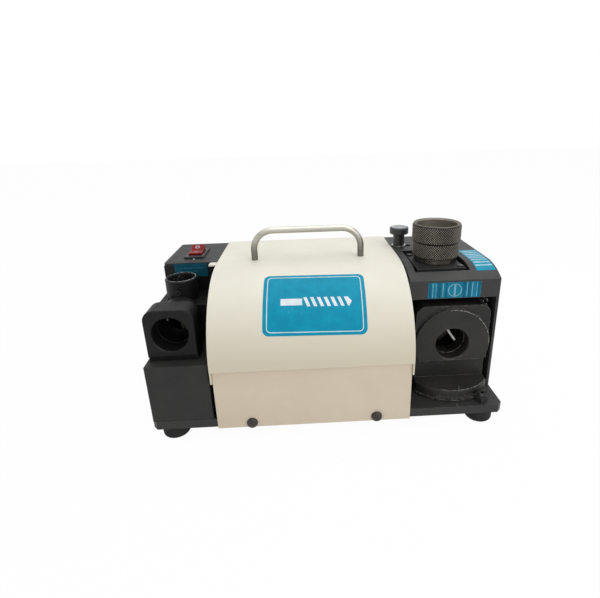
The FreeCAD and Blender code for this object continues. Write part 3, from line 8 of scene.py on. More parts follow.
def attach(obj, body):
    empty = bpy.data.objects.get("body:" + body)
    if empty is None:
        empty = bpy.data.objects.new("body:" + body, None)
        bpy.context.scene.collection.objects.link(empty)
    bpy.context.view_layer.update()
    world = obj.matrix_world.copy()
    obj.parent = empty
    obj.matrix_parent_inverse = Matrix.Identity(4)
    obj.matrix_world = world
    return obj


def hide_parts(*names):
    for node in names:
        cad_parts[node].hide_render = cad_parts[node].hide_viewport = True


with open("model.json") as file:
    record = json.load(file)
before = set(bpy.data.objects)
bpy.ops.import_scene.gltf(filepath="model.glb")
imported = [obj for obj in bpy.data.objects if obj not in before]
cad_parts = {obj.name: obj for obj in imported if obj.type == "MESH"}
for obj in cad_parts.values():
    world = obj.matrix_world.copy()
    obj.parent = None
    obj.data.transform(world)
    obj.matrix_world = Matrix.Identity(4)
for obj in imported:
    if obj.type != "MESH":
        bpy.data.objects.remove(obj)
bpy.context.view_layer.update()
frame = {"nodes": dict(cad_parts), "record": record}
MM = 0.001

# Photograph's camera, in millimetres and degrees
CAMERA_PLACE = (-17.8, -395.0, 269.3)
CAMERA_PITCH = 19.31
CAMERA_YAW = 2.19
CAMERA_ROLL = -1.54
CAMERA_LENS = 24.86
CAMERA_SENSOR = 36.0
CAMERA_SHIFT = (-0.0333, -0.045)
CAMERA_NEAR = 10.0

# Solids that the pieces sit on, in millimetres; their heights start LIFT above the table
LIFT = Vector((0, 0, 1.6))
COVER_ARC_Y = -7.5
COVER_ARC_Z = 68.7
COVER_ARC_RADIUS = 74.0
RIGHT_ARC_Y = -14.0
RIGHT_ARC_Z = 82.0
RIGHT_ARC_RADIUS = 60.0
FASCIA_Y = -46.5
STEP_Y = 6.4
PLATE_TOP = 142.1
SWIVEL = (120.6, -26.3)
TABLE_RADIUS = 44.0
TABLE_TOP = 30.0
BOSS_FRONT = -48.5
BOSS_Z = 67.5
CHUCK = (113.2, -2.0)
ROCKER_PIVOT = Vector((-132.3, 37.8, 141.5))
ROCKER_TILT = 12.0
ROCKER_MIDDLE = 5.0
ROCKER_RISE = 2.0
ROCKER_HALF = 10.2
THIN = (-138.5, -10.0)
THIN_TOP = 133.4
THIN_INNER = 12.0
BASE_TOP = 18.5

# Spans of a noise value over which a ramp runs
MIDDLE = (0.35, 0.65)
BROAD = (0.3, 0.7)

# How the drawn lines of a metal are stretched along an axis
EVEN = (1, 1, 1)
ALONG_X = (0.05, 1, 1)
UPRIGHT = (1, 1, 0.1)
LONG_UPRIGHT = (1, 1, 0.08)
STREAKED = (1, 1, 0.25)

# Sockets of the Mix node that carry colours
MIX_FACTOR = 0
MIX_FIRST = 6
MIX_SECOND = 7
MIX_RESULT = 2

BEVEL_SAMPLES = 6
EDGE_TURN = (0.995, 0.80)


def linear(red, green, blue):
    """Linear colour of an sRGB colour given from 0 to 255."""
    shade = []
    for share in (red / 255, green / 255, blue / 255):
        shade.append(share / 12.92 if share <= 0.04045 else ((share + 0.055) / 1.055) ** 2.4)
    return (shade[0], shade[1], shade[2], 1.0)


def feed(tree, socket, value):
    """Links a socket to another node's output, or sets its value."""
    if isinstance(value, bpy.types.NodeSocket):
        tree.links.new(value, socket)
    else:
        socket.default_value = value


def math_node(tree, kind, first, second):
    node = tree.nodes.new("ShaderNodeMath")
    node.operation = kind
    feed(tree, node.inputs[0], first)
    feed(tree, node.inputs[1], second)
    return node.outputs[0]


class Look:
    """One procedural material, built node by node in the part's own coordinates."""

    def __init__(self, name):
        self.material = bpy.data.materials.new(name)
        self.material.use_nodes = True
        self.tree = self.material.node_tree
        self.shader = self.tree.nodes["Principled BSDF"]
        self.place = self.add("ShaderNodeTexCoord", {}).outputs["Object"]

    def add(self, kind, sockets):
        node = self.tree.nodes.new(kind)
        for name, value in sockets.items():
            feed(self.tree, node.inputs[name], value)
        return node

    def set(self, **sockets):
        """Feeds the shader's sockets; an underscore stands for a space in a socket's name."""
        for name, value in sockets.items():
            feed(self.tree, self.shader.inputs[name.replace("_", " ")], value)

    def noise(self, scale, detail=3.0, stretch=EVEN):
        mapping = self.add("ShaderNodeMapping", {"Vector": self.place, "Scale": stretch})
        sockets = {"Vector": mapping.outputs[0], "Scale": scale, "Detail": detail}
        return self.add("ShaderNodeTexNoise", sockets).outputs["Fac"]

    def ramp(self, value, span, result=(0.0, 1.0)):
        """Runs from the first to the second result while the value crosses the span."""
        sockets = {"Value": value, "From Min": span[0], "From Max": span[1]}
        sockets["To Min"], sockets["To Max"] = result
        return self.add("ShaderNodeMapRange", sockets).outputs["Result"]

    def mix(self, factor, first, second):
        node = self.add("ShaderNodeMix", {})
        node.data_type = "RGBA"
        feed(self.tree, node.inputs[MIX_FACTOR], factor)
        feed(self.tree, node.inputs[MIX_FIRST], first)
        feed(self.tree, node.inputs[MIX_SECOND], second)
        return node.outputs[MIX_RESULT]

    def math(self, kind, first, second):
        return math_node(self.tree, kind, first, second)

    def vector_math(self, kind, *values):
        node = self.tree.nodes.new("ShaderNodeVectorMath")
        node.operation = kind
        for index, value in enumerate(values):
            feed(self.tree, node.inputs[index], value)
        return node.outputs["Value"]

    def height(self):
        return self.add("ShaderNodeSeparateXYZ", {"Vector": self.place}).outputs[2]

    def chuck_radius(self):
        """Distance from the chuck's upright axis."""
        sockets = {"Vector": self.place, "Scale": (1, 1, 0)}
        sockets["Location"] = (-CHUCK[0] * MM, -CHUCK[1] * MM, 0)
        return self.vector_math("LENGTH", self.add("ShaderNodeMapping", sockets).outputs[0])

    def fade(self, base, low):
        """Blends to a darker colour below, as painted shade; low is that colour and two heights in
        millimetres.
        """
        colour, start, end = low
        return self.mix(self.ramp(self.height(), (start * MM, end * MM)), linear(*colour), base)

    def soft_normal(self, radius):
        node = self.add("ShaderNodeBevel", {"Radius": radius})
        node.samples = BEVEL_SAMPLES
        return node.outputs[0]

    def rims(self, radius):
        """1 on sharp edges, falling to 0 away from them."""
        normal = self.add("ShaderNodeNewGeometry", {}).outputs["Normal"]
        turn = self.vector_math("DOT_PRODUCT", self.soft_normal(radius), normal)
        return self.ramp(turn, EDGE_TURN)

    def bump(self, height, strength, distance, rounding=0.3 * MM):
        sockets = {"Height": height, "Strength": strength, "Distance": distance}
        sockets["Normal"] = self.soft_normal(rounding)
        self.set(Normal=self.add("ShaderNodeBump", sockets).outputs[0])


# Kinds of material; every colour is given as sRGB from 0 to 255
def powder_coat(
    name, dark, light, worn, roughness=0.5, wear=0.5, specular=0.3, chip=0.52, low=None
):
    """Sprayed coat with a fine orange peel, soft patches and edges rubbed through in places.

    wear is how strongly the worn colour shows, and chip the noise value above which edges chip.
    """
    look = Look(name)
    patches = look.ramp(look.noise(scale=28.0, detail=5.0), MIDDLE)
    peel = look.noise(scale=1300.0, detail=2.0)
    base = look.mix(patches, linear(*dark), linear(*light))
    if low:
        base = look.fade(base, low)
    scuffs = look.ramp(look.noise(scale=260.0, detail=6.0), (chip, chip + 0.08))
    rubbed = look.math("MULTIPLY", look.rims(0.6 * MM), look.ramp(scuffs, (0.0, 1.0), (0.12, 1.0)))
    rubbed = look.math("MULTIPLY", rubbed, wear)
    specks = look.ramp(look.noise(scale=900.0, detail=1.0), (0.76, 0.80), (0.0, wear * 0.5))
    marks = look.math("MAXIMUM", rubbed, specks)
    sheen = look.noise(scale=90.0, detail=4.0)
    gloss = look.ramp(sheen, BROAD, (roughness - 0.05, roughness + 0.06))
    look.set(Base_Color=look.mix(marks, base, linear(*worn)), Roughness=gloss)
    look.set(Specular_IOR_Level=specular)
    look.bump(peel, strength=0.12, distance=0.05 * MM)
    return look.material


def brushed_metal(name, dark, light, roughness, stretch, metallic=1.0, low=None):
    """Metal with fine drawn lines along one direction and faint cloudy tarnish."""
    look = Look(name)
    lines = look.noise(scale=220.0, detail=4.0, stretch=stretch)
    clouds = look.ramp(look.noise(scale=40.0, detail=4.0), (0.35, 0.7))
    base = look.mix(look.ramp(lines, BROAD), linear(*dark), linear(*light))
    base = look.mix(look.math("MULTIPLY", clouds, 0.35), base, linear(*dark))
    if low:
        base = look.fade(base, low)
    gloss = look.ramp(lines, BROAD, (roughness - 0.06, roughness + 0.08))
    look.set(Base_Color=base, Roughness=gloss, Metallic=metallic)
    look.bump(lines, strength=0.15, distance=0.02 * MM)
    return look.material


def moulded(name, dark, light, roughness, grain, specular=0.4):
    """Moulded plastic or rubber with a fine spark grain and handled, paler edges."""
    look = Look(name)
    patches = look.ramp(look.noise(scale=60.0, detail=4.0), MIDDLE)
    grains = look.noise(scale=grain, detail=2.0)
    base = look.mix(patches, linear(*dark), linear(*light))
    base = look.mix(look.math("MULTIPLY", look.rims(0.4 * MM), 0.25), base, linear(*light))
    gloss = look.ramp(grains, BROAD, (roughness - 0.05, roughness + 0.07))
    look.set(Base_Color=base, Roughness=gloss, Specular_IOR_Level=specular)
    look.bump(grains, strength=0.15, distance=0.04 * MM)
    return look.material


def abrasive(name):
    """Coarse grinding grit."""
    look = Look(name)
    grit = look.noise(scale=2400.0, detail=2.0)
    base = look.mix(look.ramp(grit, MIDDLE), linear(70, 66, 60), linear(176, 168, 150))
    look.set(Base_Color=base, Roughness=look.ramp(grit, BROAD, (0.75, 0.95)))
    look.bump(grit, strength=0.5, distance=0.2 * MM)
    return look.material


def windings(name):
    """Varnished copper wires laid along the motor."""
    look = Look(name)
    wires = look.noise(scale=900.0, detail=1.0, stretch=ALONG_X)
    base = look.mix(look.ramp(wires, MIDDLE), linear(92, 42, 18), linear(196, 112, 62))
    look.set(Base_Color=base, Roughness=look.ramp(wires, BROAD, (0.25, 0.45)), Metallic=0.8)
    look.bump(wires, strength=0.4, distance=0.2 * MM)
    return look.material


BORE_EDGE = (20.2, 20.7)


def knurled_steel(name, radius, depth):
    """Dark steel with a painted highlight on the knurl's points, painted shade in its grooves, and
    plainly turned inside.
    """
    look = Look(name)
    clouds = look.ramp(look.noise(scale=55.0, detail=4.0), MIDDLE)
    fine = look.noise(scale=1500.0, detail=3.0)
    reach = look.chuck_radius()

    def between(deep, shallow):
        """Runs from 0 to 1 between two depths, each a share of the knurl's depth."""
        return look.ramp(reach, ((radius - deep * depth) * MM, (radius - shallow * depth) * MM))

    # Painted highlight on the knurl's points, and painted shade in its grooves
    points = between(0.55, 0.05)
    grooves = between(1.0, 0.5)
    base = look.mix(clouds, linear(70, 65, 58), linear(96, 90, 81))
    base = look.mix(grooves, linear(24, 22, 20), base)
    base = look.mix(points, base, linear(174, 169, 158))
    base = look.mix(between(1.3, 1.05), linear(84, 79, 71), base)
    outside = look.ramp(reach, (BORE_EDGE[0] * MM, BORE_EDGE[1] * MM))
    base = look.mix(outside, linear(136, 131, 121), base)
    look.set(Base_Color=base, Roughness=look.ramp(fine, BROAD, (0.36, 0.5)), Metallic=0.7)
    look.bump(fine, strength=0.1, distance=0.02 * MM, rounding=0.1 * MM)
    return look.material


def printed_film(name, dark, light):
    """Printed sticker under a thin clear film, a little uneven in ink and scuffed."""
    look = Look(name)
    scuff = 0.06
    ink = look.ramp(look.noise(scale=120.0, detail=5.0), BROAD)
    streaks = look.noise(scale=420.0, detail=6.0, stretch=STREAKED)
    scuffs = look.ramp(streaks, (0.66, 0.76), (0.0, scuff))
    base = look.mix(ink, linear(*dark), linear(*light))
    look.set(Base_Color=look.mix(scuffs, base, linear(205, 222, 230)), Specular_IOR_Level=0.15)
    look.set(Roughness=look.ramp(scuffs, (0.0, scuff), (0.42, 0.5)))
    waves = look.noise(scale=350.0, detail=3.0)
    look.bump(waves, strength=0.06, distance=0.05 * MM, rounding=0.1 * MM)
    return look.material


# Materials of the solids, by the record's slots and then by node
LOOKS = {
    "black_coat": powder_coat("black_coat", (30, 30, 31), (36, 36, 37), (120, 118, 114)),
    # The cream coat darkens towards the bottom: painted shade of the light from above
    "cream_coat": powder_coat(
        "cream_coat", (232, 229, 215), (237, 234, 220), (190, 178, 158), roughness=0.46, wear=0.12,
        low=((215, 206, 184), 76.0, 136.0),
    ),
    "aluminium": brushed_metal("aluminium", (176, 172, 164), (214, 211, 204), 0.36, ALONG_X),
    "knurled_steel": brushed_metal("turned_steel", (78, 74, 68), (120, 115, 106), 0.38, UPRIGHT),
    "steel": brushed_metal("steel", (150, 148, 145), (204, 202, 198), 0.3, LONG_UPRIGHT),
    "screw_steel": brushed_metal("screw_steel", (58, 58, 60), (96, 95, 94), 0.4, UPRIGHT),
    "rubber": moulded(
        "rubber", (22, 22, 22), (40, 39, 38), roughness=0.75, grain=1400.0, specular=0.25
    ),
    "black_plastic": moulded(
        "black_plastic", (24, 24, 26), (44, 44, 46), roughness=0.42, grain=1700.0
    ),
    "grey_plastic": moulded(
        "grey_plastic", (148, 149, 152), (186, 187, 190), roughness=0.45, grain=1500.0
    ),
    "red_plastic": moulded(
        "red_plastic", (108, 3, 10), (136, 9, 16), roughness=0.36, grain=1200.0, specular=0.2
    ),
    "copper": windings("copper"),
    "abrasive": abrasive("abrasive"),
}
# Lighter copies of the black coat for the base plate, the swivel clamp and the right housing:
# painted light
LIT_RIGHT_COAT = powder_coat("right_coat_painted_light", (43, 43, 43), (50, 49, 48), (128, 126, 121))
LIT_HOUSING_COAT = powder_coat("housing_coat_painted_light", (51, 51, 51), (58, 58, 57), (132, 130, 125))
RUBBED_COAT = powder_coat(
    "rubbed_coat", (32, 32, 32), (45, 44, 42), (156, 152, 145), wear=1.0, chip=0.46
)
# A darker copy of the black coat for the thinning port, the relief port and the left housing:
# painted shade
SHADED_DEEP_COAT = powder_coat("deep_coat_painted_shade", (13, 13, 14), (21, 21, 22), (120, 118, 114), specular=0.22)
NODE_LOOKS = {
    "thinning_port_tube": SHADED_DEEP_COAT,
    "relief_port_block": SHADED_DEEP_COAT,
    "left_housing": SHADED_DEEP_COAT,
    "right_housing": LIT_HOUSING_COAT,
    "base_plate": LIT_RIGHT_COAT,
    "swivel_clamp": LIT_RIGHT_COAT,
    "swivel_table": RUBBED_COAT,
    "cutting_port_block": RUBBED_COAT,
    # The cutting pin is a near-white, hardly metallic steel: painted highlight
    "cutting_index_pin": brushed_metal(
        "pin_steel_painted_highlight", (212, 212, 208), (242, 242, 238), 0.4, UPRIGHT, metallic=0.2
    ),
    "relief_index_pin": LOOKS["screw_steel"],
    # The handle's legs are darker than its grip: painted shade
    "carry_handle": brushed_metal(
        "handle_metal", (180, 177, 167), (216, 213, 203), 0.36, ALONG_X,
        low=((118, 117, 109), 152.0, 175.0),
    ),
    # The apron is a darker copy of the cream coat: painted shade
    "lower_apron": powder_coat(
        "apron_coat_painted_shade", (214, 200, 179), (219, 205, 184), (186, 172, 150), roughness=0.46, wear=0.12
    ),
    "thumb_knob": moulded(
        "knob_plastic", (50, 51, 53), (72, 73, 75), roughness=0.42, grain=1700.0
    ),
    "left_front_box": powder_coat(
        "box_coat", (39, 39, 39), (44, 43, 42), (112, 110, 106), roughness=0.6, wear=0.4
    ),
    "apron_screws": moulded(
        "screw_caps", (26, 20, 18), (52, 42, 38), roughness=0.3, grain=900.0, specular=0.5
    ),
}

for entry in frame["record"]["subparts"]:
    node = frame["nodes"][entry["node"]]
    material = NODE_LOOKS.get(entry["node"], LOOKS[entry["material_slot"]])
    node.data.materials.clear()
    node.data.materials.append(material)


def finish_mesh(tool, name, material, body, smooth_angle=30.0):
    """Turns a bmesh into an object that rides on a body."""
    bmesh.ops.recalc_face_normals(tool, faces=tool.faces)
    mesh = bpy.data.meshes.new(name)
    tool.to_mesh(mesh)
    tool.free()
    mesh.materials.append(material)
    for face in mesh.polygons:
        face.use_smooth = True
    mesh.set_sharp_from_angle(angle=math.radians(smooth_angle))
    piece = bpy.data.objects.new(name, mesh)
    bpy.context.scene.collection.objects.link(piece)
    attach(piece, body)
    return piece


# Surfaces that stickers and marks are wrapped on
# Each maps a place across and down to a point and its normal
def cover_front(across, down):
    """The cover's bend, with down measured along it from its highest line."""
    angle = min(down / COVER_ARC_RADIUS, math.pi / 2)
    drop = down - angle * COVER_ARC_RADIUS
    normal = Vector((0, -math.sin(angle), math.cos(angle)))
    centre = Vector((across, COVER_ARC_Y, COVER_ARC_Z - drop))
    return centre + normal * COVER_ARC_RADIUS, normal


def right_top(across, down):
    """The right housing's top, flat at the back and bent down at the front."""
    flat = min(down, 0.0)
    angle = max(down, 0.0) / RIGHT_ARC_RADIUS
    normal = Vector((0, -math.sin(angle), math.cos(angle)))
    centre = Vector((across, RIGHT_ARC_Y - flat, RIGHT_ARC_Z))
    return centre + normal * RIGHT_ARC_RADIUS, normal


def upright_face(y):
    """A flat face towards the front; down is minus the height."""
    def place(across, down):
        return Vector((across, y, -down)), Vector((0, -1, 0))

    return place


def flat_top(z):
    """A flat top at a height; down runs to the front."""
    def place(across, down):
        return Vector((across, -down, z)), Vector((0, 0, 1))

    return place


def table_side(across, down):
    """The swivel table's round side, with across measured round it from the front."""
    angle = across / TABLE_RADIUS
    normal = Vector((math.sin(angle), -math.cos(angle), 0))
    return Vector((SWIVEL[0], SWIVEL[1], -down)) + normal * TABLE_RADIUS, normal


def tube_inside(across, down):
    """The thinning port's bore, with across measured round it from the back."""
    angle = across / THIN_INNER
    normal = Vector((-math.sin(angle), -math.cos(angle), 0))
    return Vector((THIN[0], THIN[1], THIN_TOP - down)) - normal * THIN_INNER, normal


def rocker_face(far):
    """One of the rocker's two sloping faces, in its tilted place at rest."""
    slope = math.atan2(ROCKER_RISE, ROCKER_HALF)
    lean = -math.sin(slope) if far else math.sin(slope)
    turn = Matrix.Rotation(math.radians(ROCKER_TILT), 3, "X")

    def place(across, down):
        height = ROCKER_MIDDLE + abs(down) * math.tan(slope)
        point = ROCKER_PIVOT + turn @ Vector((across, -down, height))
        return point, turn @ Vector((0, lean, math.cos(slope)))

    return place


BEND_STEP = 2.0
NO_CUTS = math.inf
SINK = 0.05


def decal(name, outlines, surface, lift, material, body, step=BEND_STEP):
    """Thin sheets with the given outlines (across, down), wrapped on a surface, lift above it.

    They are cut every step both ways, so that they can follow a bend.
    """
    tool = bmesh.new()
    for outline in outlines:
        tool.faces.new([tool.verts.new((across, down, 0)) for across, down in outline])
    for axis in (0, 1):
        values = [vert.co[axis] for vert in tool.verts]
        position = min(values) + step
        while position < max(values):
            cut = Vector((0, 0, 0))
            cut[axis] = position
            normal = Vector((0, 0, 0))
            normal[axis] = 1
            parts = tool.verts[:] + tool.edges[:] + tool.faces[:]
            bmesh.ops.bisect_plane(tool, geom=parts, plane_co=cut, plane_no=normal, dist=1e-6)
            position += step
    wrap(tool, surface, lift)
    return finish_mesh(tool, name, material, body)


def wrap(tool, surface, lift):
    """Moves a flat sheet on to a surface and closes its sides down into it."""
    flat = {vert: vert.co.copy() for vert in tool.verts}
    border = [edge for edge in tool.edges if len(edge.link_faces) == 1]
    low = {}
    for vert, place in flat.items():
        point, normal = surface(place.x, place.y)
        vert.co = (point + normal * lift + LIFT) * MM
    for edge in border:
        for vert in edge.verts:
            if vert not in low:
                point, normal = surface(flat[vert].x, flat[vert].y)
                low[vert] = tool.verts.new((point - normal * SINK + LIFT) * MM)
        first, second = edge.verts
        tool.faces.new((first, second, low[second], low[first]))


# Outlines of what is drawn on the surfaces
def placed(outline, centre, turn):
    """An outline turned by an angle in degrees and moved to a centre."""
    spin = math.radians(turn)
    moved = []
    for x, y in outline:
        across = centre[0] + x * math.cos(spin) - y * math.sin(spin)
        moved.append((across, centre[1] + x * math.sin(spin) + y * math.cos(spin)))
    return moved


def rounded_outline(centre, half, corner, turn=0.0, steps=8):
    """Rectangle with rounded corners, turned by an angle in degrees."""
    outline = []
    for quarter, (side_x, side_y) in enumerate(((1, 1), (-1, 1), (-1, -1), (1, -1))):
        for step in range(steps + 1):
            angle = math.pi / 2 * (quarter + step / steps)
            x = side_x * (half[0] - corner) + corner * math.cos(angle)
            y = side_y * (half[1] - corner) + corner * math.sin(angle)
            outline.append((x, y))
    return placed(outline, centre, turn)


def ring_outlines(centre, radius, width, steps=40):
    """A ring as a row of small four-sided outlines."""
    outlines = []
    for step in range(steps):
        corners = []
        for turn, reach in ((0, radius), (1, radius), (1, radius - width), (0, radius - width)):
            angle = 2 * math.pi * (step + turn) / steps
            x = centre[0] + reach * math.cos(angle)
            corners.append((x, centre[1] + reach * math.sin(angle)))
        outlines.append(corners)
    return outlines


def frame_line(centre, half, corner, width, turn):
    """Rounded frame line as a loop of four-sided outlines."""
    outer = rounded_outline(centre, half, corner, turn)
    inner_half = (half[0] - width, half[1] - width)
    inner = rounded_outline(centre, inner_half, corner - width, turn)
    outlines = []
    for index in range(len(outer)):
        after = (index + 1) % len(outer)
        outlines.append([outer[index], outer[after], inner[after], inner[index]])
    return outlines


def bar(left, top, right, bottom):
    return [(left, top), (right, top), (right, bottom), (left, bottom)]


def upright_bars(lines, ends):
    """Bars from pairs of left edge and width, between two ends."""
    return [bar(left, ends[0], left + width, ends[1]) for left, width in lines]


BLUE = printed_film("blue_film", (4, 140, 172), (12, 152, 184))
MID_BLUE = printed_film("mid_blue_film", (8, 108, 138), (20, 128, 158))
DEEP_BLUE = printed_film("deep_blue_film", (6, 84, 112), (12, 98, 128))
# SHADE_BLUE and SHADE_PRINT are darker copies of the blue film and the pale print: painted shade
SHADE_BLUE = printed_film("shade_blue_film", (10, 70, 88), (18, 88, 108))
PALE = printed_film("pale_print", (214, 226, 232), (238, 243, 245))
SOFT = printed_film("soft_print", (140, 190, 206), (188, 216, 226))
DIM = printed_film("dim_print", (96, 158, 180), (140, 188, 204))
SHADE_PRINT = printed_film("shade_print", (36, 96, 120), (60, 120, 142))

# Heights of films and prints above what carries them
COVER_FILM = 0.16
COVER_PRINT = 0.2
FILM = 0.15
BAND_PRINT = 0.17
PRINT = 0.19
DOT_PRINT = 0.2
ROCKER_PRINT = 0.1
SCALE_PRINT = 0.06
WEAR = 0.05

# Plain sticker on the cover, with a thin frame line and a twist drill drawn on it
COVER_LABEL = (-10.4, 56.4)
COVER_LABEL_HALF = (45.6, 29.9)
COVER_LABEL_CORNER = 5.5
COVER_LABEL_TURN = 1.3
COVER_LINE_HALF = (42.4, 27.2)
COVER_LINE_CORNER = 4.0
COVER_LINE_WIDTH = 0.7
DRILL_SHANK = (-30.0, -11.0)
DRILL_SHANK_HALF = 3.2
DRILL_HALF = 4.4
DRILL_LANDS = 6
DRILL_FIRST_LAND = -10.0
DRILL_PITCH = 6.0
DRILL_LAND = 3.0
DRILL_SLANT = 3.4
DRILL_TIP = [
    (26.0, -DRILL_HALF), (29.4, -DRILL_HALF), (33.0, 0.0), (30.4, DRILL_HALF), (29.4, DRILL_HALF)
]


def drill_outlines(centre, turn):
    """A twist drill seen from the side: shank, slanted lands and a point."""
    flats = [bar(DRILL_SHANK[0], -DRILL_SHANK_HALF, DRILL_SHANK[1], DRILL_SHANK_HALF)]
    for step in range(DRILL_LANDS):
        left = DRILL_FIRST_LAND + DRILL_PITCH * step
        upper = [(left, -DRILL_HALF), (left + DRILL_LAND, -DRILL_HALF)]
        lower = [(left + DRILL_LAND + DRILL_SLANT, DRILL_HALF), (left + DRILL_SLANT, DRILL_HALF)]
        flats.append(upper + lower)
    flats.append(DRILL_TIP)
    return [placed(flat, centre, turn) for flat in flats]


cover_sheet = rounded_outline(COVER_LABEL, COVER_LABEL_HALF, COVER_LABEL_CORNER, COVER_LABEL_TURN)
decal("cover_label", [cover_sheet], cover_front, COVER_FILM, BLUE, "frame")
cover_line = frame_line(
    COVER_LABEL, COVER_LINE_HALF, COVER_LINE_CORNER, COVER_LINE_WIDTH, COVER_LABEL_TURN
)
decal("cover_label_line", cover_line, cover_front, COVER_PRINT, PALE, "frame")
cover_drill = drill_outlines(COVER_LABEL, COVER_LABEL_TURN)
decal("cover_label_drill", cover_drill, cover_front, COVER_PRINT, PALE, "frame")

# Plain sticker on the step behind the thinning port, in darker copies of the blue film and its
# print: painted shade
LEFT_LABEL = (-148.9, -141.3, -116.2, -127.4)
LEFT_LINES = ((-145.0, -137.0, -120.0, -136.0), (-145.0, -133.4, -126.0, -132.6))
left_lines = [bar(*line) for line in LEFT_LINES]
decal("left_label", [bar(*LEFT_LABEL)], upright_face(STEP_Y), FILM, SHADE_BLUE, "frame")
decal("left_label_line", left_lines, upright_face(STEP_Y), PRINT, SHADE_PRINT, "frame")

# Sticker on the right fascia: upright bands round a ring with a bar in it
FASCIA_LABEL = (94.4, -130.5, 143.7, -115.2)
FASCIA_LINES = ((98.4, 0.7), (101.6, 0.4), (108.0, 0.6), (130.6, 0.5), (135.2, 0.8), (139.8, 0.4))
FASCIA_LINE_ENDS = (-129.6, -116.0)
FASCIA_BANDS = ((95.2, 2.2), (103.0, 3.4), (110.4, 1.6), (126.6, 2.6), (132.0, 2.2), (141.2, 1.8))
FASCIA_BAND_ENDS = (-130.4, -115.3)
FASCIA_RING = (119.4, -122.7)
FASCIA_RING_RADIUS = 6.4
FASCIA_RING_WIDTH = 0.7
FASCIA_BAR_WIDTH = 1.8
FASCIA_BAR_ENDS = (-128.0, -117.4)
ring_bar = (FASCIA_RING[0] - FASCIA_BAR_WIDTH / 2, FASCIA_BAR_WIDTH)
fascia_marks = upright_bars(FASCIA_LINES, FASCIA_LINE_ENDS)
fascia_marks += ring_outlines(FASCIA_RING, FASCIA_RING_RADIUS, FASCIA_RING_WIDTH)
fascia_marks += upright_bars([ring_bar], FASCIA_BAR_ENDS)
fascia_bands = upright_bars(FASCIA_BANDS, FASCIA_BAND_ENDS)
decal("fascia_label", [bar(*FASCIA_LABEL)], upright_face(FASCIA_Y), FILM, MID_BLUE, "frame")
decal("fascia_label_marks", fascia_marks, upright_face(FASCIA_Y), PRINT, DIM, "frame")
decal("fascia_label_bands", fascia_bands, upright_face(FASCIA_Y), BAND_PRINT, DEEP_BLUE, "frame")

# Striped sticker on the right housing's bend
TOP_LABEL = (142.5, -28.0, 160.5, 23.6)
STRIPE_X = (143.5, 159.5)
STRIPE_COUNT = 8
STRIPE_START = -25.0
STRIPE_PITCH = 5.6
STRIPE_WIDTH = 2.4
stripes = []
for stripe in range(STRIPE_COUNT):
    top = STRIPE_START + STRIPE_PITCH * stripe
    stripes.append(bar(STRIPE_X[0], top, STRIPE_X[1], top + STRIPE_WIDTH))
decal("top_label", [bar(*TOP_LABEL)], right_top, FILM, BLUE, "frame")
decal("top_label_stripes", stripes, right_top, PRINT, SOFT, "frame")

# Bare metal on edges that are rubbed through, broken up unevenly; on the boss's upper right edge
# the same pale metal is a painted highlight
BARE_AND_HIGHLIGHT = brushed_metal("bare_edge_and_highlight", (136, 134, 129), (208, 206, 200), 0.45, EVEN, metallic=0.3)
FAINT = brushed_metal("faint_edge", (70, 69, 66), (112, 110, 105), 0.45, EVEN, metallic=0.2)
SCATTER_SEEDS = (12.9898, 78.233, 37.719)
SCATTER_GAIN = 43758.5453
WHOLE_COAT = 0.22
CHIP_SIZES = (0.2, 0.65)
CHIP_TOP = 0.9
CHIP_SLANT = 0.1
PEDESTAL_LINE = (87.0, 44.1, 154.0, 44.5)


def scatter(step, seed):
    """A share from 0 to 1 that looks random but is the same each run."""
    spread = math.sin(seed * (step + 1)) * SCATTER_GAIN
    return spread - math.floor(spread)


def edge_wear_and_highlight(centre, radius, degrees, count, widths):
    """Short pieces of a ring inside a radius, each with its own width; some are left out."""
    outlines = []
    start, end = (math.radians(angle) for angle in degrees)
    for step in range(count):
        share = scatter(step, SCATTER_SEEDS[0])
        if share < WHOLE_COAT:
            continue
        inner = radius - widths[0] - (widths[1] - widths[0]) * share
        corners = []
        for turn, reach in ((0, radius), (1, radius), (1, inner), (0, inner)):
            angle = start + (end - start) * (step + turn) / count
            x = centre[0] + reach * math.sin(angle)
            corners.append((x, centre[1] - reach * math.cos(angle)))
        outlines.append(corners)
    return outlines


def chips(count, width, depth):
    """Small four-sided flakes scattered over a strip."""
    outlines = []
    for step in range(count):
        side, drop, share = (scatter(step, seed) for seed in SCATTER_SEEDS)
        size = CHIP_SIZES[0] + (CHIP_SIZES[1] - CHIP_SIZES[0]) * share
        left = width * (side - 0.5)
        top = CHIP_TOP + depth * drop
        upper = [(left, top), (left + size, top + CHIP_SLANT)]
        lower = [(left + 0.8 * size, top + size), (left, top + 0.7 * size)]
        outlines.append(upper + lower)
    return outlines


rim_centre = (THIN[0], -THIN[1])
rim_wear = edge_wear_and_highlight(rim_centre, radius=14.15, degrees=(0, 360), count=96, widths=(0.2, 0.8))
decal("thinning_rim_wear", rim_wear, flat_top(THIN_TOP), WEAR, BARE_AND_HIGHLIGHT, "frame", NO_CUTS)
bore_chips = chips(count=34, width=34.0, depth=7.0)
decal("thinning_bore_chips", bore_chips, tube_inside, WEAR, BARE_AND_HIGHLIGHT, "frame", NO_CUTS)
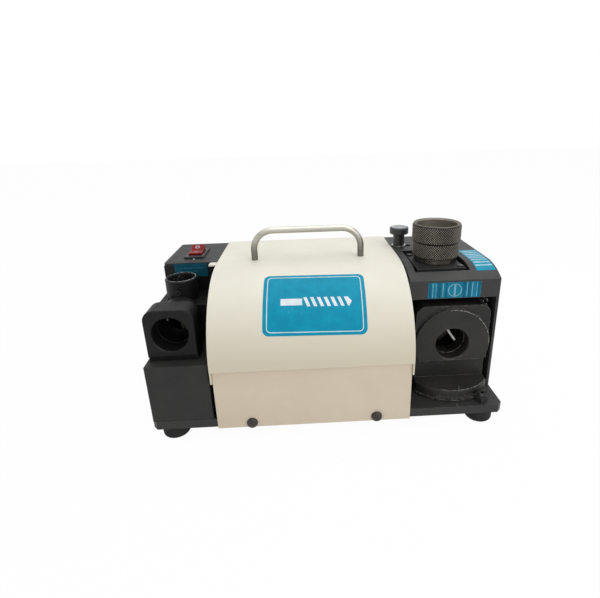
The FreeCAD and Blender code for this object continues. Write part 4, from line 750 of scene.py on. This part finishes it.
# Painted highlight: pale arcs on the upper right of the boss's front edge
boss_centre = (SWIVEL[0], -BOSS_Z)
boss_highlight = edge_wear_and_highlight(boss_centre, radius=35.6, degrees=(-6, 96), count=60, widths=(0.15, 0.5))
decal("boss_edge_painted_highlight", boss_highlight, upright_face(BOSS_FRONT), WEAR, BARE_AND_HIGHLIGHT, "swivel", NO_CUTS)
table_centre = (SWIVEL[0], -SWIVEL[1])
table_wear = edge_wear_and_highlight(table_centre, radius=43.2, degrees=(128, 202), count=60, widths=(0.15, 0.5))
decal("table_edge_wear", table_wear, flat_top(TABLE_TOP), WEAR, BARE_AND_HIGHLIGHT, "swivel", NO_CUTS)
decal("pedestal_line", [bar(*PEDESTAL_LINE)], flat_top(TABLE_TOP), WEAR, FAINT, "swivel", NO_CUTS)

# Small dot in front of the switch, and the marks on its rocker
DOT = (-131.8, -18.6)
DOT_HALF = (0.9, 0.9)
DOT_CORNER = 0.89
ROCKER_RING = (-0.2, -5.4)
ROCKER_BAR = (-1.6, 5.1, 1.6, 5.8)
dot = rounded_outline(DOT, DOT_HALF, DOT_CORNER)
decal("switch_dot", [dot], flat_top(PLATE_TOP), DOT_PRINT, PALE, "frame")
rocker_ring = ring_outlines(ROCKER_RING, radius=2.2, width=0.5, steps=28)
decal("rocker_ring", rocker_ring, rocker_face(True), ROCKER_PRINT, PALE, "rocker", NO_CUTS)
decal("rocker_bar", [bar(*ROCKER_BAR)], rocker_face(False), ROCKER_PRINT, PALE, "rocker", NO_CUTS)

# Scale engraved round the swivel table, and the marks that it is read against
SCALE_INK = powder_coat(
    "scale_ink", (96, 94, 88), (128, 124, 116), (150, 146, 138), roughness=0.6, wear=0.2
)
SCALE_STEPS = 12
SCALE_DEGREES = 2.0
SCALE_LONG_EVERY = 5
SCALE_HALF_WIDTH = 0.16
SCALE_LONG_TOP = -25.0
SCALE_SHORT_TOP = -23.6
SCALE_BOTTOM = -21.6
TABLE_MARK = [(124.9, 62.5), (125.5, 62.5), (122.8, 69.4), (122.2, 69.4)]
BASE_MARK = (119.5, 74.0, 120.1, 77.8)
scale = []
for index in range(-SCALE_STEPS, SCALE_STEPS + 1):
    middle = math.radians(SCALE_DEGREES * index) * TABLE_RADIUS
    top = SCALE_LONG_TOP if index % SCALE_LONG_EVERY == 0 else SCALE_SHORT_TOP
    scale.append(bar(middle - SCALE_HALF_WIDTH, top, middle + SCALE_HALF_WIDTH, SCALE_BOTTOM))
decal("table_scale", scale, table_side, SCALE_PRINT, SCALE_INK, "swivel", NO_CUTS)
decal("table_mark", [TABLE_MARK], flat_top(TABLE_TOP), WEAR, SCALE_INK, "swivel", NO_CUTS)
decal("base_mark", [bar(*BASE_MARK)], flat_top(BASE_TOP), WEAR, SCALE_INK, "frame", NO_CUTS)

# Diamond knurl of the chuck's nut and grip
# Profiles are pairs of radius and height, from the knurl's top round to its foot
KNURL_PITCH = 2.3
KNURL_SMOOTH = 24.0
NUT_RADIUS = 23.5
NUT_DEPTH = 0.6
NUT_KNURL = (159.5, 175.4)
NUT_COLUMNS = 132
NUT_PROFILE = [
    (22.9, 175.5), (22.3, 176.5), (20.9, 176.5), (19.7, 175.3), (19.7, 167.6), (18.06, 167.6),
    (18.06, 159.2), (22.6, 159.2), (22.9, 159.4),
]
GRIP_RADIUS = 22.4
GRIP_DEPTH = 0.5
GRIP_KNURL = (144.4, 158.7)
GRIP_COLUMNS = 124
GRIP_PROFILE = [(21.9, 158.8), (21.2, 158.8), (21.2, 144.2), (21.9, 144.2)]


def knurl_rings(radius, depth, span):
    """Rows of half-pitch heights; odd and even points of a row stand low and high in turn."""
    bottom, top = span
    rows = round((top - bottom) / (KNURL_PITCH / 2))
    heights = [bottom + (top - bottom) * row / rows for row in range(rows + 1)]
    rings = []
    for row, height in enumerate(heights):
        edge = row in (0, rows)
        rings.append((height, row, radius - depth, radius - depth if edge else radius))
    return rings


def ring_verts(tool, columns, height, parity, low, high):
    """Points round the chuck's axis that stand high and low in turn."""
    verts = []
    for column in range(columns):
        reach = high if (column + parity) % 2 == 0 else low
        angle = 2 * math.pi * column / columns
        x = CHUCK[0] + reach * math.cos(angle)
        y = CHUCK[1] + reach * math.sin(angle)
        verts.append(tool.verts.new((x * MM, y * MM, (height + LIFT.z) * MM)))
    return verts


def join_plain(tool, lower, upper):
    for column in range(len(lower)):
        after = (column + 1) % len(lower)
        tool.faces.new((lower[column], lower[after], upper[after], upper[column]))


def join_knurl(tool, lower, upper, parity):
    """Splits each cell along its groove, so that the high points become diamonds."""
    for column in range(len(lower)):
        after = (column + 1) % len(lower)
        if (column + parity) % 2 == 0:
            tool.faces.new((lower[column], lower[after], upper[column]))
            tool.faces.new((lower[after], upper[after], upper[column]))
        else:
            tool.faces.new((lower[column], lower[after], upper[after]))
            tool.faces.new((lower[column], upper[after], upper[column]))


def knurled_turning(name, profile, knurl, columns, material, body):
    """Turned piece about the chuck's axis, with a knurl that closes the profile's open side."""
    tool = bmesh.new()
    rings = []
    for height, parity, low, high in knurl:
        rings.append(ring_verts(tool, columns, height, parity, low, high))
    for row in range(len(rings) - 1):
        join_knurl(tool, rings[row], rings[row + 1], row)
    loop = [rings[-1]]
    for radius, height in profile:
        loop.append(ring_verts(tool, columns, height, 0, radius, radius))
    loop.append(rings[0])
    for lower, upper in zip(loop, loop[1:]):
        join_plain(tool, lower, upper)
    return finish_mesh(tool, name, material, body, KNURL_SMOOTH)


nut = knurled_turning(
    "knurled_nut", NUT_PROFILE, knurl_rings(NUT_RADIUS, NUT_DEPTH, NUT_KNURL), NUT_COLUMNS,
    knurled_steel("nut_knurl", NUT_RADIUS, NUT_DEPTH), "nut",
)
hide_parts("chuck_nut")
grip = knurled_turning(
    "knurled_grip", GRIP_PROFILE, knurl_rings(GRIP_RADIUS, GRIP_DEPTH, GRIP_KNURL), GRIP_COLUMNS,
    knurled_steel("grip_knurl", GRIP_RADIUS, GRIP_DEPTH), "chuck",
)

# Floor, light and camera, in metres and watts
FLOOR_HALF = 4.0
FLOOR_DROP = 0.0002
FLOOR_COLOUR = (0.95, 0.95, 0.95, 1)
FLOOR_ROUGHNESS = 0.9
FLOOR_GLOW = 0.97
AMBIENT = 0.5
WHITE = (1, 1, 1, 1)
LIGHT_AIM = Vector((0, 0, 0.08))
SOFTBOXES = (
    ("overhead", (0.25, 0.0, 1.2), (1.4, 1.2), 7.2),
    ("front_right", (0.9, -1.1, 0.8), (0.9, 0.9), 5.4),
)


def seen_rays(tree, share):
    """A share for camera, glossy and transmission rays, and 0 for the rest."""
    path = tree.nodes.new("ShaderNodeLightPath")
    total = path.outputs["Is Camera Ray"]
    for name in ("Is Glossy Ray", "Is Transmission Ray"):
        total = math_node(tree, "MAXIMUM", total, path.outputs[name])
    return math_node(tree, "MULTIPLY", total, share)


def white_ground(name):
    """Pale floor that looks white to the camera and in reflections, and keeps a soft shadow."""
    material = bpy.data.materials.new(name)
    material.use_nodes = True
    tree = material.node_tree
    paint = tree.nodes["Principled BSDF"]
    paint.inputs["Base Color"].default_value = FLOOR_COLOUR
    paint.inputs["Roughness"].default_value = FLOOR_ROUGHNESS
    paint.inputs["Specular IOR Level"].default_value = 0.0
    glow = tree.nodes.new("ShaderNodeEmission")
    glow.inputs["Strength"].default_value = 1.0
    blend = tree.nodes.new("ShaderNodeMixShader")
    tree.links.new(seen_rays(tree, FLOOR_GLOW), blend.inputs[0])
    tree.links.new(paint.outputs[0], blend.inputs[1])
    tree.links.new(glow.outputs[0], blend.inputs[2])
    tree.links.new(blend.outputs[0], tree.nodes["Material Output"].inputs["Surface"])
    return material


def add_floor():
    tool = bmesh.new()
    bmesh.ops.create_grid(tool, x_segments=2, y_segments=2, size=FLOOR_HALF)
    mesh = bpy.data.meshes.new("floor")
    tool.to_mesh(mesh)
    tool.free()
    mesh.materials.append(white_ground("floor_white"))
    floor = bpy.data.objects.new("floor", mesh)
    floor.location = (0, 0, -FLOOR_DROP)
    bpy.context.scene.collection.objects.link(floor)


def add_world():
    """Even light from all round; the camera and reflections see plain white."""
    world = bpy.data.worlds.new("studio")
    bpy.context.scene.world = world
    world.use_nodes = True
    tree = world.node_tree
    background = tree.nodes["Background"]
    background.inputs["Color"].default_value = WHITE
    strength = math_node(tree, "ADD", seen_rays(tree, 1.0 - AMBIENT), AMBIENT)
    tree.links.new(strength, background.inputs["Strength"])


def add_softbox(name, place, size, power):
    light = bpy.data.lights.new(name, "AREA")
    light.shape = "RECTANGLE"
    light.size, light.size_y = size
    light.energy = power
    lamp = bpy.data.objects.new(name, light)
    lamp.location = place
    aim = LIGHT_AIM - Vector(place)
    lamp.rotation_euler = aim.to_track_quat("-Z", "Y").to_euler()
    bpy.context.scene.collection.objects.link(lamp)


def add_camera():
    pitch = math.radians(CAMERA_PITCH)
    yaw = math.radians(CAMERA_YAW)
    roll = math.radians(CAMERA_ROLL)
    reach = math.cos(pitch)
    ahead = Vector((math.sin(yaw) * reach, math.cos(yaw) * reach, -math.sin(pitch)))
    side = Vector((math.cos(yaw), -math.sin(yaw), 0))
    above = side.cross(ahead)
    camera_x = side * math.cos(roll) + above * math.sin(roll)
    camera_y = above * math.cos(roll) - side * math.sin(roll)
    turn = Matrix((camera_x, camera_y, -ahead)).transposed()
    data = bpy.data.cameras.new("photo_camera")
    data.lens = CAMERA_LENS
    data.sensor_width = CAMERA_SENSOR
    data.sensor_fit = "HORIZONTAL"
    data.shift_x, data.shift_y = CAMERA_SHIFT
    data.clip_start = CAMERA_NEAR * MM
    camera = bpy.data.objects.new("photo_camera", data)
    camera.matrix_world = Matrix.Translation(Vector(CAMERA_PLACE) * MM) @ turn.to_4x4()
    bpy.context.scene.collection.objects.link(camera)
    bpy.context.scene.camera = camera


add_floor()
add_world()
for softbox in SOFTBOXES:
    add_softbox(*softbox)
add_camera()
bpy.context.scene.view_settings.view_transform = "Standard"
